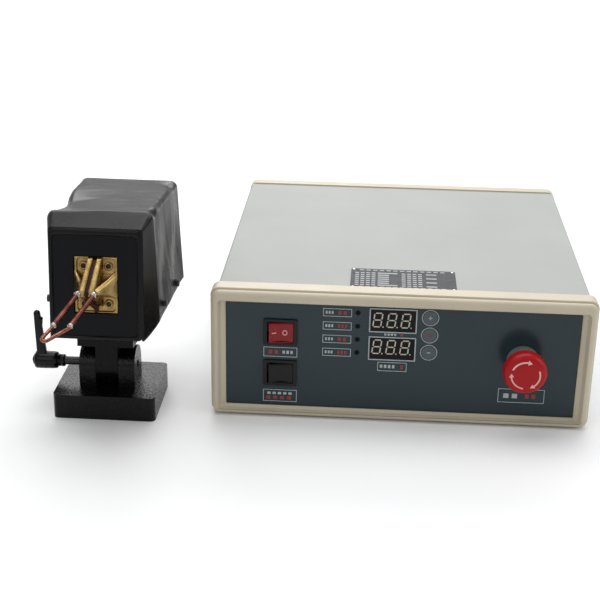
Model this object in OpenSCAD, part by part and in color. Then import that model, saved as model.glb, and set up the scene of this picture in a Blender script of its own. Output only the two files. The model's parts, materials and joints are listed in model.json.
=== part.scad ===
// High-frequency induction joining set: a bench control unit and a separate
// power head, which tilts on a clamp stand beside it.
// Millimetres, +Z up, +X to the operator's right, the operator looks along +Y.
// The origin is the middle of the set's footprint, on the bench.

/* [Control unit case] */
// Width over the moulded frames
unit_w = 354; // [340:1:430]
// Height from the bench to the top of the frames
unit_h = 128; // [124:1:160]
// Depth over the two frames
unit_d = 356; // [340:1:430]
// Gap that the rubber feet keep under the frames
foot_gap = 0.5; // [0.5:0.5:6]
// How far the front frame stands proud of the sheet-metal cover
frame_step = 4.5; // [3:0.5:8]
// How far the rear frame stands proud of the sheet-metal cover
rear_step = 1.5; // [1:0.5:6]
// Distance from the front frame's side to the panel's visible edge
frame_side = 14; // [12:0.5:18]
// Distance from the front frame's underside to the panel's visible edge
frame_low = 9; // [8:0.5:12]
// Distance from the front frame's top to the panel's visible edge
frame_top = 14; // [10:0.5:16]
// Width of the bevel at each side of the front frame's mouth
mouth_side = 6.5; // [3:0.5:8]
// Width of the bevel along the top and bottom of the front frame's mouth
mouth_low = 3; // [1:0.5:4]
// Depth of the front frame
front_frame_d = 22; // [18:1:34]
// Depth of the rear frame
rear_frame_d = 22; // [14:1:28]
// Radius of the frames' outer corners
frame_r = 7; // [3:0.5:10]
// Thickness of the sheet-metal cover
cover_t = 1.2; // [0.8:0.1:2]
// Thickness of the chassis tray
chassis_t = 1.5; // [1:0.1:2.5]
// Height of the tray's upturned edges
chassis_lip = 16; // [12:1:24]
// Depth of the recess in front of the front panel
panel_recess = 8; // [4:0.5:10]
// Thickness of the front panel
panel_t = 3; // [2:0.5:4]
// Thickness of the rear panel
rear_panel_t = 2; // [1.5:0.5:3]
// Length of the rating plate
plate_w = 99; // [60:1:120]
// Width of the rating plate
plate_d = 50; // [30:1:60]
// Thickness of the rating plate
plate_t = 0.5; // [0.3:0.1:1]
// Distance of the rating plate from the front of the case
plate_y = 28.5; // [26:0.5:80]
// Diameter of a rubber foot
foot_dia = 20; // [14:1:30]

/* [Front controls] */
// Width of a rocker switch's bezel
bezel_w = 32; // [28:0.5:36]
// Height of a rocker switch's bezel
bezel_h = 26; // [24:0.5:30]
// Width of a rocker
rocker_w = 24; // [20:0.5:25]
// Height of a rocker
rocker_h = 20; // [16:0.5:21]
// Angle between a rocker's two positions
rocker_throw = 16; // [10:1:20]
// Distance of the rocker switches left of the middle
switch_x = 112.2; // [100:0.1:125]
// Height of the power switch's centre
power_z = 85; // [77:0.5:94]
// Height of the mode switch's centre
mode_z = 43.5; // [32:0.5:46]
// Width of a display window
display_w = 42.6; // [38:0.2:46]
// Height of a display window
display_h = 22.8; // [18:0.2:25]
// Distance of the displays left of the middle
display_x = 8.5; // [5:0.1:12]
// Height of the upper display's centre
display_z = 100.6; // [97:0.1:101]
// Distance between the displays' centres
display_pitch = 28.1; // [27:0.1:32]
// Diameter of a round key
key_dia = 13.5; // [10:0.5:15]
// Distance of the round keys right of the middle
key_x = 25.5; // [24:0.1:32]
// Height of the lowest key's centre
key_z = 70; // [62:0.5:72]
// Distance between two keys' centres
key_pitch = 17.4; // [16.5:0.1:18]
// Travel of a round key
key_travel = 0.6; // [0.3:0.1:1]
// Diameter of an indicator light
led_dia = 4; // [3:0.5:6]
// Distance of the indicator lights left of the middle
led_x = 40.9; // [38:0.1:50]
// Height of the lowest light
led_z = 67.2; // [62:0.1:70]
// Distance between two lights
led_pitch = 13.3; // [12:0.1:14]
// Diameter of the emergency stop's mushroom
stop_dia = 40; // [34:1:46]
// Distance of the emergency stop right of the middle
stop_x = 112; // [90:0.5:125]
// Height of the emergency stop's centre
stop_z = 66; // [50:0.1:76]
// How far the mushroom's face stands in front of the case
stop_reach = 26; // [22:1:34]
// Travel of the emergency stop
stop_travel = 4; // [3:0.5:5]
// Diameter of the emergency stop's stem
stem_dia = 10; // [8:0.5:12]

/* [Power electronics] */
// Side of the square fan
fan_size = 92; // [80:1:92]
// Depth of the fan
fan_d = 25; // [20:1:32]
// Distance of the fan right of the middle
fan_x = 62; // [50:1:100]
// Number of fan blades
fan_blades = 7; // [5:1:9]
// Diameter of a smoothing capacitor
cap_dia = 30; // [22:1:35]
// Height of a smoothing capacitor
cap_h = 45; // [30:1:60]
// Width of the heatsink
sink_w = 90; // [60:1:110]
// Length of the heatsink
sink_l = 120; // [80:1:130]
// Height of the heatsink's fins
fin_h = 34; // [20:1:40]
// Number of heatsink fins
fin_count = 12; // [8:1:14]

/* [Clamp stand] */
// Distance of the stand's middle left of the unit's middle
stand_x = 275; // [262:1:330]
// Distance of the stand's front edge in front of the unit's front face
stand_y = 20; // [-20:1:60]
// Width of the base
base_w = 96; // [86:0.2:120]
// Depth of the base
base_d = 80; // [70:1:110]
// Thickness of the base
base_h = 24; // [16:1:32]
// Radius of the base's corners
base_r = 5; // [4:0.5:14]
// Thickness of an ear
ear_t = 15.5; // [10:0.5:20]
// Width of the tongue between the ears
tongue_t = 21; // [16:0.5:26]
// Clearance between the tongue and each ear
fork_gap = 0.3; // [0.1:0.05:0.6]
// Depth of an ear, and the diameter of its round top
ear_d = 36; // [28:1:44]
// Height of the tilt axis above the base
pivot_rise = 18; // [16:0.5:30]
// Distance of the tilt axis behind the base's front edge
pivot_y = 38; // [30:1:50]
// Diameter of the clamp stud
stud_dia = 8; // [6:0.5:10]
// Bare length of the stud outside the left ear
stud_free = 17; // [8:0.5:24]
// Diameter of the lever's boss
boss_dia = 17; // [14:0.5:22]
// Length of the lever's boss
boss_l = 22; // [14:0.2:24]
// Length of the lever from the stud's axis to its tip
lever_l = 51; // [36:1:60]

/* [Power head] */
// Sideways offset of the head from the stand's middle
head_shift = 5; // [0:0.5:8]
// Angle at which the head's nose is raised
head_tilt = 7; // [0:1:15]
// Distance of the front panel in front of the tilt axis
head_front = 79.5; // [70:0.5:95]
// Height of the front panel's lower edge above the tilt axis
head_rise = 49.4; // [46:0.2:56]
// Width of the front panel
face_w = 77.6; // [70:0.2:90]
// Height of the front panel
face_h = 95; // [90:0.5:105]
// Thickness of the front panel
face_t = 3; // [2:0.5:4]
// Width of the cover along its top edge
cover_top_w = 94; // [88:1:110]
// Width of the cover along its bottom edge
cover_low_w = 105; // [98:1:120]
// Height of the cover above the front panel's lower edge
cover_h = 111; // [106:1:125]
// Length of the cover
cover_l = 166; // [150:1:190]
// Depth of the collar that widens from the front panel to the cover
collar_d = 20; // [14:1:26]
// Wall of the moulded cover
cover_wall = 2.5; // [1.5:0.25:4]
// Radius of the cover's edges
cover_r = 8; // [5:0.5:12]
// Height of the cover's lower edge just behind the collar
skirt_front = 11; // [8:0.5:13]
// Height of the cover's lower edge at the back
skirt_back = 16; // [12:0.5:20]
// Width of the window in the front panel
window_w = 39.3; // [34:0.1:44]
// Height of the window in the front panel
window_h = 52; // [46:0.5:60]
// Height of the window's lower edge
window_z = 21.2; // [16:0.2:26]

/* [Terminals and coil] */
// Thickness of a terminal's plate
term_t = 4; // [3:0.5:6]
// Gap between the two terminals
term_gap = 2.8; // [2:0.1:5]
// How far the terminals' noses stand out of their plates
nose_l = 24; // [16:1:30]
// Sideways lean of the noses
nose_lean = 8; // [0:1:12]
// Height of the tube sockets above the window's lower edge
socket_z = 24.5; // [20:0.5:30]
// Distance from the slot's middle to each tube
tube_x = 7.1; // [6:0.1:9]
// Diameter of the lead tubes
tube_dia = 4.6; // [4:0.1:6]
// Diameter of the work loop's tube
loop_dia = 3.2; // [2.5:0.1:4]

/* [Hidden] */
$fn = 48;

fit = 0.2;              // slip clearance between fixed pieces
run = 0.05;             // radial running clearance of shafts and stems
slide_gap = 0.35;       // clearance round a moving key, rocker or stem
bead = 0.3;             // how much thicker a bent tube is at its bends
eps = 0.01;             // overlap that keeps unions and cuts clean

// case, in the unit's own frame: x from its middle, y from its front face, z from the bench
case_z0 = foot_gap + frame_step;                 // underside of the tray and the cover
case_z1 = unit_h - frame_step;                   // top of the cover
case_w = unit_w - 2 * frame_step;                // width over the cover
inner_w = case_w - 2 * cover_t - 2 * fit;        // width over the tray
opening_w = unit_w - 2 * frame_side;
opening_z0 = foot_gap + frame_low;
opening_z1 = unit_h - frame_top;
panel_lap = 3;                                   // how far the panels reach behind the frames' lips
panel_w = opening_w + 2 * panel_lap;
panel_z0 = opening_z0 - panel_lap + 1;
panel_z1 = opening_z1 + panel_lap;
panel_y = panel_recess;                          // front face of the front panel
panel_back = panel_y + panel_t;
mouth_d = panel_recess - 1;                      // depth of the bevel in the front frame's mouth
rear_lip = 8;                                    // depth of the lip behind the rear panel
rear_panel_y = unit_d - rear_lip - rear_panel_t; // inner face of the rear panel
rear_face = rear_panel_y + rear_panel_t;         // outer face of the rear panel
tray_y0 = panel_back + fit;
tray_y1 = rear_panel_y - fit;
floor_z = case_z0 + chassis_t;                   // top of the tray's floor
screw_z = case_z0 + chassis_lip * 0.6;           // height of the case screws
cover_y0 = panel_back + 1;
cover_y1 = rear_panel_y - 1;
foot_seat = 2;                                   // depth of a foot's peg in the tray
bezel_t = 2;                                     // how far a bezel stands off the panel
switch_w = rocker_w + 3.6;                       // switch body behind the panel
switch_h = rocker_h + 3.6;
switch_d = 24;
rocker_pivot = panel_y + 3;                      // depth of a rocker's hinge line
rocker_pin = 2.5;                                // diameter of a rocker's hinge pin
rocker_depth = 6;                                // half depth of a rocker
key_face = panel_y - 0.4;
key_back = panel_back + 3.4;
board_y = panel_back + 8;                        // front face of the control board
board_t = 1.6;
stop_collar_dia = stop_dia - 10;
stop_collar_d = 15;                              // how far the collar stands off the panel
stop_axis = [stop_x, 0, stop_z];
mushroom_l = 17;
mushroom_hollow = 9;
stem_seat = 6;                                   // depth of the stem's end behind the mushroom's face
contacts_y = panel_back + 14;                    // front of the contact block
fan_z = (opening_z0 + opening_z1) / 2 + 2;
fan_y1 = rear_panel_y - fit;
fan_y0 = fan_y1 - fan_d;
duct_dia = fan_size - 5;
hub_dia = fan_size * 0.4;
fan_shaft = 4;
guard_wire = 2;
sink_z = floor_z + 12;                           // underside of the heatsink's fins
sink_plate = 8;
choke_r = 11;                                    // section of the wound ring
choke_ring_r = 19;                               // radius of the wound ring
trafo_core = [57, 48, 40];                       // small transformer's plates
trafo_coil = [36, 64, 24];                       // small transformer's winding
fin_t = 2;
module_size = [34, 34, 14];                      // one power module
module_x = 24;                                   // the modules' rows, from the heatsink's middle
sink_y1 = fan_y0 - 8;
sink_y0 = sink_y1 - sink_l;
board2 = [120, 130];                             // power board, x by y
board2_x = -switch_x + 16;
board2_y = tray_y1 - board2[1] - 20;
board2_z = floor_z + 8;
rear_reach = 20;                                 // how far the longest rear fitting stands out
rear_low_z = 34;                                 // height of the rear sockets' lower row
rear_high_z = 84;

// stand, in its own frame: x from its middle, y from the base's front edge, z from the bench
pivot_z = base_h + pivot_rise;
fork_w = tongue_t + 2 * ear_t + 2 * fork_gap;         // width over both ears
ear_x = tongue_t / 2 + fork_gap;                      // inner face of an ear
floor_gap = 0.6;                                 // clearance between the tongue and the fork's floor
stud_x1 = fork_w / 2 - 3;                        // right end of the stud, inside the right ear
stud_x0 = -fork_w / 2 - stud_free - boss_l + 3;  // left end of the stud, inside the boss
hub_l = 6.7;
lever_x1 = -fork_w / 2 - stud_free;              // right face of the lever's hub
boss_x1 = lever_x1 - hub_l;
boss_x0 = boss_x1 - boss_l;
cap_l = 2.8;
arm_root = 6.6;                                  // middle of the arm at the boss, from the boss's end
arm_root_w = 9.6;
arm_tip = 3.6;                                   // middle of the arm at its tip
arm_tip_w = 5.8;
arm_t = 7;                                       // thickness of the arm
cap_x0 = boss_x0 - cap_l;

// head, in its own frame: x from its middle, y from the front panel's face,
// z from the front panel's lower edge; the tilt axis lies at y = head_front, z = -head_rise
lip_t = 2.5;                                     // width of the cover's lip round the front panel
base_plate_t = 4;
base_plate_z = skirt_back - 1;                   // underside of the head's base plate
base_plate_y0 = collar_d + cover_r;
base_plate_l = cover_l - cover_wall - 12 - base_plate_y0;
plate_half = cover_low_w / 2 - cover_wall - 1.6; // half width of the base plate
plate_nose_w = 60;                               // width of the plate's front tongue
plate_edge = 14;                                 // height of its upturned edges
bracket_d = 46;
bracket_z = ear_d / 2 + 4;                       // underside of the bracket's block, from the axis
bracket_top = head_rise + base_plate_z - fit;
screw1_y = 46;
screw2_y = cover_l - 48;
screw_up = 6;                                    // cover screws, above the base plate's underside
term_w = (window_w - term_gap) / 2 - 0.4;
term_h = window_h - 1;
term_x = term_gap / 2 + term_w / 2;              // middle of a terminal plate
term_z0 = window_z + 0.5;
term_y = 0.5;                                    // front face of the terminal plates
tab_r = 7.5;
term_screw = 4;                                  // diameter of the terminal screws
tab_z = [term_z0 + 8.5, term_z0 + term_h - 8.5];
nose_y = term_y - nose_l;                        // tip of the noses
nose_z = window_z + socket_z;                    // height of the tube sockets
nose_x = -nose_l * sin(nose_lean);               // sideways shift of the noses' tips
backing_t = 9;
backing_y = face_t + fit;
term_back = term_y + term_t;                     // rear face of the terminal plates
plate_nose_y = backing_y + backing_t + fit;
lead_start_l = [nose_x - tube_x, nose_y + 3, nose_z];
lead_start_r = [nose_x + tube_x, nose_y + 3, nose_z];
lead_run = [-13.5, -36, -19.5];                  // from a socket to the end of its lead
loop_run = [-10, -16, -7];                       // from the leads' ends to the work loop's tip
lead_dir = lead_run / norm(lead_run);
lead_end_l = lead_start_l + lead_run;
lead_end_r = lead_start_r + lead_run;
loop_r = 3;                                      // radius of the work loop's end turn
loop_mid = (lead_end_l + lead_end_r) / 2 + loop_run;
loop_slope = atan2(-loop_run[2], -loop_run[1]);  // fall of the loop's plane
loop_yaw = atan2(-loop_run[0], norm([loop_run[1], loop_run[2]]));
loop_side = loop_r * [
    cos(loop_yaw),
    -sin(loop_yaw) * cos(loop_slope),
    -sin(loop_yaw) * sin(loop_slope)
];
tube_side = 19.5;                                 // cooling tubes, from the head's middle
core_y = 62;                                     // front of the ferrite core
core_l = 34;                                     // length of the ferrite core
core_window = 17;                                // middle of each of the core's windows
core_w = 62;
core_low = 6;                                    // thickness of the core's lower bar
core_gap = 38;                                   // height of the core's windows
core_top = 13;                                   // height of the core over its windows
core_window_w = 16;                              // width of each of the core's windows
winding_w = 26;                                  // width of the winding on the core's middle leg
core_leg = 18;                                   // width of the core's middle leg
core_rail = 6;                                   // rails that carry the core over the bracket screws
core_z = base_plate_z + base_plate_t + core_rail;
tank_y0 = core_y + core_l + 7;                   // front of the first tank capacitor
tank_pitch = 15;
tank_w = 24;                                     // width of a tank capacitor
tank_h = 48;                                     // height of a tank capacitor
tank_count = max(1, floor((cover_l - 16 - tank_y0) / tank_pitch));
tube_low = nose_z - 10;                          // height of the cooling tubes
tube_od = 6;                                     // diameter of the cooling tubes
spread_y = core_y - 20;                          // where they are led out past the core
barb_l = 22;
gland_l = 18;
gland_d = 16;                                    // the gland's thread through the head cover
gland_flange = 24;                               // the gland's flange and its nut
gland_cap = 20;                                  // the gland's cap
gland_bore = 10;
barb_d = 10;                                     // a hose barb's thread through the head cover
barb_hex = 15;                                   // a hose barb's hexagon, across its corners
barb_bore = 3.6;
fitting_in = 12;                                 // how far the barbs and long tubes stay inside the rear wall
rear_plate_z = 62;                               // height of the head's gland

// the set on the bench; coil_tip is the loop's end from the tilt axis, in the head's frame
coil_tip = [loop_mid[1] - head_front, loop_mid[2] + head_rise];
coil_front = stand_y - pivot_y - coil_tip[0] * cos(head_tilt) - coil_tip[1] * sin(head_tilt)
    + loop_r * cos(loop_slope - head_tilt) + loop_dia / 2;
half_span = [
    (unit_w / 2 - cap_x0 + stand_x) / 2,
    (unit_d + rear_reach + coil_front) / 2
];
unit_at = [
    half_span[0] - unit_w / 2,
    half_span[1] - unit_d - rear_reach,
    0
];
stand_at = unit_at + [-stand_x, -stand_y, 0];

module at_unit() {
    translate(unit_at)
        children();
}

module at_stand() {
    translate(stand_at)
        children();
}

// carries a shape from the tilt axis's frame to the set
module at_pivot() {
    at_stand()
        translate([0, pivot_y, pivot_z])
            rotate([-head_tilt, 0, 0])
                children();
}

module at_head() {
    at_pivot()
        translate([head_shift, -head_front, head_rise])
            children();
}

// rectangle with true round corners, standing on the x axis
module round_rect(w, h, r) {
    translate([-w / 2 + r, 0])
        square([w - 2 * r, h]);
    translate([-w / 2, r])
        square([w, h - 2 * r]);
    for (x = [-w / 2 + r, w / 2 - r], y = [r, h - r])
        translate([x, y])
            circle(r);
}

// upright slab facing the operator, from y to y + t
module upright(w, z0, z1, y, t, r) {
    translate([0, y + t, z0])
        rotate([90, 0, 0])
            linear_extrude(t)
                round_rect(w, z1 - z0, r);
}

// rod along y
module rod_y(d, y0, y1) {
    translate([0, y0, 0])
        rotate([-90, 0, 0])
            cylinder(d = d, h = y1 - y0);
}

// rod along x
module rod_x(d, x0, x1) {
    translate([x0, 0, 0])
        rotate([0, 90, 0])
            cylinder(d = d, h = x1 - x0);
}

// straight rod with round ends between two points
module strut(a, b, d) {
    v = b - a;
    l = norm(v);
    translate(a) {
        rotate([0, acos(v[2] / l), atan2(v[1], v[0])])
            cylinder(d = d, h = l);
        sphere(d = d + bead);
    }
    translate(b)
        sphere(d = d + bead);
}

// block centred on x, from y0 and z0
module block(x, y0, z0, size) {
    translate([x - size[0] / 2, y0, z0])
        cube(size);
}

// ---- control unit: case ----

module frame_ring(step, depth, lip, panel_thick) {
    difference() {
        upright(case_w + 2 * step, case_z0 - step, case_z1 + step, 0, depth, frame_r);
        upright(opening_w, opening_z0, opening_z1, -1, depth + 2, 2);
        upright(panel_w + 2 * fit, panel_z0 - fit, panel_z1 + fit, lip, depth, 1);
        upright(case_w + 2 * fit, case_z0 - fit, case_z1 + fit, lip + panel_thick, depth, 3 + fit);
    }
}

// wedge that opens the front frame's mouth towards the operator
module mouth_bevel() {
    half_w = opening_w / 2;
    intersection() {
        translate([0, 0, opening_z0 - 2 * mouth_low])
            linear_extrude(opening_z1 - opening_z0 + 4 * mouth_low)
                polygon([
                    [-half_w - mouth_side, -eps],
                    [half_w + mouth_side, -eps],
                    [half_w - eps, mouth_d],
                    [-half_w + eps, mouth_d]
                ]);
        translate([-half_w - 2 * mouth_side, 0, 0])
            rotate([90, 0, 90])
                linear_extrude(2 * half_w + 4 * mouth_side)
                    polygon([
                        [-eps, opening_z0 - mouth_low],
                        [mouth_d, opening_z0 + eps],
                        [mouth_d, opening_z1 - eps],
                        [-eps, opening_z1 + mouth_low]
                    ]);
    }
}

module front_frame()
    color("#d9cfb4")
        at_unit()
            difference() {
                frame_ring(frame_step, front_frame_d, panel_recess, panel_t);
                mouth_bevel();
            }

module rear_frame()
    color("#d9cfb4")
        at_unit()
            translate([0, unit_d, 0])
                mirror([0, 1, 0])
                    frame_ring(rear_step, rear_frame_d, rear_lip, rear_panel_t);

module side_screw_places() {
    for (side = [-1, 1], y = [0.15, 0.5, 0.85])
        translate([side * case_w / 2, cover_y0 + y * (cover_y1 - cover_y0), screw_z])
            rotate([0, side * 90, 0])
                children();
}

module top_cover()
    color("#c9cfc8")
        at_unit()
            difference() {
                upright(case_w, case_z0, case_z1, cover_y0, cover_y1 - cover_y0, 3);
                upright(case_w - 2 * cover_t, case_z0 - 5, case_z1 - cover_t,
                    cover_y0 - 1, cover_y1 - cover_y0 + 2, 2);
                side_screw_places()
                    translate([0, 0, -5])
                        cylinder(d = 3.4, h = 10);
            }

module chassis_tray()
    color("#b9bcbc")
        at_unit()
            difference() {
                union() {
                    block(0, tray_y0, case_z0, [inner_w, tray_y1 - tray_y0, chassis_t]);
                    for (side = [-1, 1])
                        block(side * (inner_w - chassis_t) / 2, tray_y0, case_z0,
                            [chassis_t, tray_y1 - tray_y0, chassis_lip]);
                    for (y = [tray_y0, tray_y1 - chassis_t])
                        block(0, y, case_z0, [inner_w, chassis_t, chassis_lip / 2]);
                }
                foot_places()
                    translate([0, 0, -1])
                        cylinder(d = foot_dia / 2, h = chassis_t + 2);
                side_screw_places()
                    translate([0, 0, -6])
                        cylinder(d = 3, h = 10);
            }

module foot_places() {
    for (x = [-1, 1] * (inner_w / 2 - 26), y = [tray_y0 + 34, tray_y1 - 34])
        translate([x, y, case_z0])
            children();
}

module rubber_feet()
    color("#1c1c1c")
        at_unit()
            foot_places() {
                translate([0, 0, -case_z0])
                    cylinder(d = foot_dia, h = case_z0);
                cylinder(d = foot_dia / 2 - 2 * fit, h = chassis_t + foot_seat);
            }

module case_screws()
    color("#3a3a3a")
        at_unit()
            side_screw_places() {
                translate([0, 0, fit])
                    cylinder(d = 6, h = 1.6);
                translate([0, 0, -5])
                    cylinder(d = 2.9, h = 5 + 2 * fit);
            }

module rating_plate()
    color("#4d5152")
        at_unit()
            translate([0, plate_y, case_z1])
                linear_extrude(plate_t)
                    round_rect(plate_w, plate_d, 2);

// ---- control unit: front panel and its controls ----

module key_places() {
    for (i = [0 : 2])
        translate([key_x, 0, key_z + i * key_pitch])
            children();
}

module led_places() {
    for (i = [0 : 3])
        translate([-led_x, 0, led_z + i * led_pitch])
            children();
}

module switch_places() {
    for (z = [power_z, mode_z])
        translate([-switch_x, 0, z])
            children();
}

module display_places() {
    for (i = [0, 1])
        translate([-display_x, 0, display_z - i * display_pitch])
            children();
}

module front_panel()
    color("#4f6069")
        at_unit()
            difference() {
                upright(panel_w, panel_z0, panel_z1, panel_y, panel_t, 1);
                switch_places()
                    block(0, panel_y - 1, -(switch_h + fit) / 2,
                        [switch_w + fit, panel_t + 2, switch_h + fit]);
                display_places()
                    block(0, panel_y - 1, -(display_h + fit) / 2,
                        [display_w + fit, panel_t + 2, display_h + fit]);
                key_places()
                    rod_y(key_dia + 2 * slide_gap, panel_y - 1, panel_back + 1);
                led_places()
                    rod_y(led_dia + fit, panel_y - 1, panel_back + 1);
                translate(stop_axis)
                    rod_y(22 + 2 * fit, panel_y - 1, panel_back + 1);
            }

module switch_shell() {
    difference() {
        union() {
            upright(bezel_w, -bezel_h / 2, bezel_h / 2, panel_y - bezel_t, bezel_t, 2);
            block(0, panel_y, -switch_h / 2, [switch_w, switch_d, switch_h]);
        }
        block(0, panel_y - bezel_t - 1, -rocker_h / 2 - slide_gap,
            [rocker_w + 2 * slide_gap, 14, rocker_h + 2 * slide_gap]);
        translate([0, rocker_pivot, -switch_h / 2 + 0.6])
            cylinder(d = rocker_pin + 2 * run, h = switch_h - 1.2);
    }
    // blade terminals
    for (x = [-9, 0, 9])
        block(x, panel_y + switch_d - eps, -3.15, [0.8, 10, 6.3]);
}

// rocker in its resting position, tipped to one side by half its throw
module rocker_body(side) {
    translate([0, rocker_pivot, 0])
        rotate([0, 0, side * rocker_throw / 2]) {
            translate([0, 0, -rocker_h / 2])
                linear_extrude(rocker_h)
                    polygon([
                        [-rocker_w / 2 + 1, -rocker_depth],
                        [0, -rocker_depth + 1.5],
                        [rocker_w / 2 - 1, -rocker_depth],
                        [rocker_w / 2 - 1.4, 0],
                        [4, 5],
                        [-4, 5],
                        [-rocker_w / 2 + 1.4, 0]
                    ]);
            translate([0, 0, -switch_h / 2 + 0.8])
                cylinder(d = rocker_pin, h = switch_h - 1.6);
        }
}

module power_switch_body()
    color("#1b1b1c")
        at_unit()
            translate([-switch_x, 0, power_z])
                switch_shell();

module power_rocker()
    color("#c3171c")
        at_unit()
            translate([-switch_x, 0, power_z])
                rocker_body(1);

module mode_switch_body()
    color("#1b1b1c")
        at_unit()
            translate([-switch_x, 0, mode_z])
                switch_shell();

module mode_rocker()
    color("#1d1d1f")
        at_unit()
            translate([-switch_x, 0, mode_z])
                rocker_body(1);

module displays()
    color("#171717")
        at_unit()
            display_places()
                block(0, panel_y - 0.3, -display_h / 2,
                    [display_w, board_y - panel_y + 0.3 - eps, display_h]);

module control_board()
    color("#1f5a34")
        at_unit() {
            translate([-16, board_y, display_z - display_pitch / 2 - 32])
                translate([-54, 0, 0])
                    cube([108, board_t, 58]);
            // key switches on the board
            key_places()
                translate([0, board_y, 0]) {
                    block(0, -2.4, -3, [6, 2.4 + eps, 6]);
                    rod_y(3, -board_y + key_back + key_travel + 0.1, 0);
                }
        }

module indicator_lights()
    color("#3b1414")
        at_unit()
            led_places()
                rod_y(led_dia, panel_y - 0.5, board_y - eps);

module key_cap(i)
    color("#5b6c75")
        at_unit()
            translate([key_x, 0, key_z + i * key_pitch]) {
                rod_y(key_dia, key_face, key_back);
                rod_y(key_dia + 2, panel_back + 0.1, panel_back + 1.3);
            }

module plus_key()
    key_cap(2);

module mode_key()
    key_cap(1);

module minus_key()
    key_cap(0);

module stop_collar()
    color("#8f9496")
        at_unit()
            translate(stop_axis)
                difference() {
                    union() {
                        rod_y(stop_collar_dia, panel_y - stop_collar_d, panel_y);
                        rod_y(22, panel_y - eps, contacts_y - fit);
                        // locking nut behind the panel
                        translate([0, panel_back + fit, 0])
                            rotate([-90, 0, 0])
                                cylinder(d = 30, h = 5, $fn = 6);
                    }
                    rod_y(stem_dia + 2 * run, panel_y - stop_collar_d - 1, contacts_y + 1);
                }

module stop_stem()
    color("#c9c9c9")
        at_unit()
            translate(stop_axis)
                rod_y(stem_dia, -stop_reach + stem_seat, contacts_y + 1);

module stop_mushroom()
    color("#cf1420")
        at_unit()
            translate(stop_axis + [0, -stop_reach, 0])
                difference() {
                    rotate([-90, 0, 0])
                        rotate_extrude()
                            difference() {
                                union() {
                                    square([stop_dia / 2 - 4, mushroom_l]);
                                    translate([0, 4])
                                        square([stop_dia / 2, mushroom_l - 7]);
                                    translate([stop_dia / 2 - 4, 4])
                                        circle(4);
                                    translate([stop_dia / 2 - 3, mushroom_l - 3])
                                        circle(3);
                                }
                                translate([-stop_dia, 0])
                                    square([stop_dia, mushroom_l]);
                            }
                    // hollow that the collar enters
                    difference() {
                        rod_y(stop_collar_dia + 3, mushroom_l - mushroom_hollow, mushroom_l + 1);
                        rod_y(stem_dia + 6, 0, mushroom_l - 5);
                    }
                    // seat of the stem
                    rod_y(stem_dia + 2 * run, stem_seat - fit, mushroom_l + 2);
                }

module stop_contacts()
    color("#e1dccb")
        at_unit()
            translate(stop_axis)
                difference() {
                    block(0, contacts_y, -20, [30, 34, 40]);
                    rod_y(stem_dia + 2, contacts_y - 1, contacts_y + stop_travel + 3);
                }

// ---- control unit: rear and inside ----

module fan_place() {
    translate([fan_x, 0, fan_z])
        children();
}

module fan_screw_places() {
    for (x = [-1, 1], z = [-1, 1])
        translate([x, 0, z] * (fan_size / 2 - 5))
            children();
}

module fan_frame()
    color("#232323")
        at_unit()
            fan_place()
                difference() {
                    union() {
                        difference() {
                            upright(fan_size, -fan_size / 2, fan_size / 2, fan_y0, fan_d, 4);
                            rod_y(duct_dia, fan_y0 - 1, fan_y1 + 1);
                        }
                        rod_y(hub_dia, fan_y0, fan_y0 + 4);
                        for (a = [45 : 90 : 315])
                            rotate([0, a, 0])
                                block(0, fan_y0, 0, [5, 3, duct_dia / 2 + 0.5]);
                    }
                    rod_y(fan_shaft + 2 * run, fan_y0 - 1, fan_y0 + 5);
                    fan_screw_places()
                        rod_y(4.3, fan_y0 - 1, fan_y1 + 1);
                }

module fan_rotor()
    color("#2d2d2f")
        at_unit()
            fan_place()
                rotate([0, 15, 0]) {
                    rod_y(hub_dia, fan_y0 + 5, fan_y1 - 1);
                    rod_y(fan_shaft, fan_y0, fan_y0 + 6);
                    for (i = [0 : fan_blades - 1])
                        rotate([0, i * 360 / fan_blades, 0])
                            translate([0, (fan_y0 + 5 + fan_y1) / 2, hub_dia / 2 - 1])
                                rotate([0, 0, 40])
                                    translate([-9.5, -0.8, 0])
                                        cube([19, 1.6, (duct_dia - hub_dia) / 2 - 1.2]);
                }

module fan_guard()
    color("#a8abad")
        at_unit()
            fan_place() {
                for (i = [1 : 4])
                    translate([0, rear_face + guard_wire, 0])
                        rotate([-90, 0, 0])
                            rotate_extrude()
                                translate([i * fan_size / 9, 0])
                                    circle(guard_wire / 2);
                for (a = [-1, 1])
                    rotate([0, a * 45, 0])
                        translate([0, rear_face + guard_wire / 2, 0])
                            rotate([0, 90, 0])
                                translate([0, 0, -fan_size * 0.63])
                                    cylinder(d = guard_wire, h = fan_size * 1.26);
                // screws through the panel into the fan
                fan_screw_places() {
                    rod_y(4, fan_y0 + 2, rear_face + 2 * fit);
                    rod_y(7, rear_face, rear_face + 3);
                }
            }

module rear_panel()
    color("#c3c6c4")
        at_unit()
            difference() {
                upright(panel_w, panel_z0, panel_z1, rear_panel_y, rear_panel_t, 1);
                fan_place() {
                    rod_y(duct_dia, rear_panel_y - 1, rear_face + 1);
                    fan_screw_places()
                        rod_y(4.3, rear_panel_y - 1, rear_face + 1);
                }
                for (p = rear_fittings)
                    translate([p[0], 0, p[1]])
                        rod_y(p[2] + 2 * fit, rear_panel_y - 1, rear_face + 1);
            }

// x, z and neck diameter of each fitting on the rear panel
gland_p = [-130, rear_low_z, 16];
fuse_p = [-130, rear_high_z, 12];
output_p = [-82, rear_low_z + 2, 24];
pedal_p = [-82, rear_high_z, 15];
earth_p = [-40, rear_low_z - 8, 6];
rear_fittings = [gland_p, fuse_p, output_p, pedal_p, earth_p];

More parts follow.
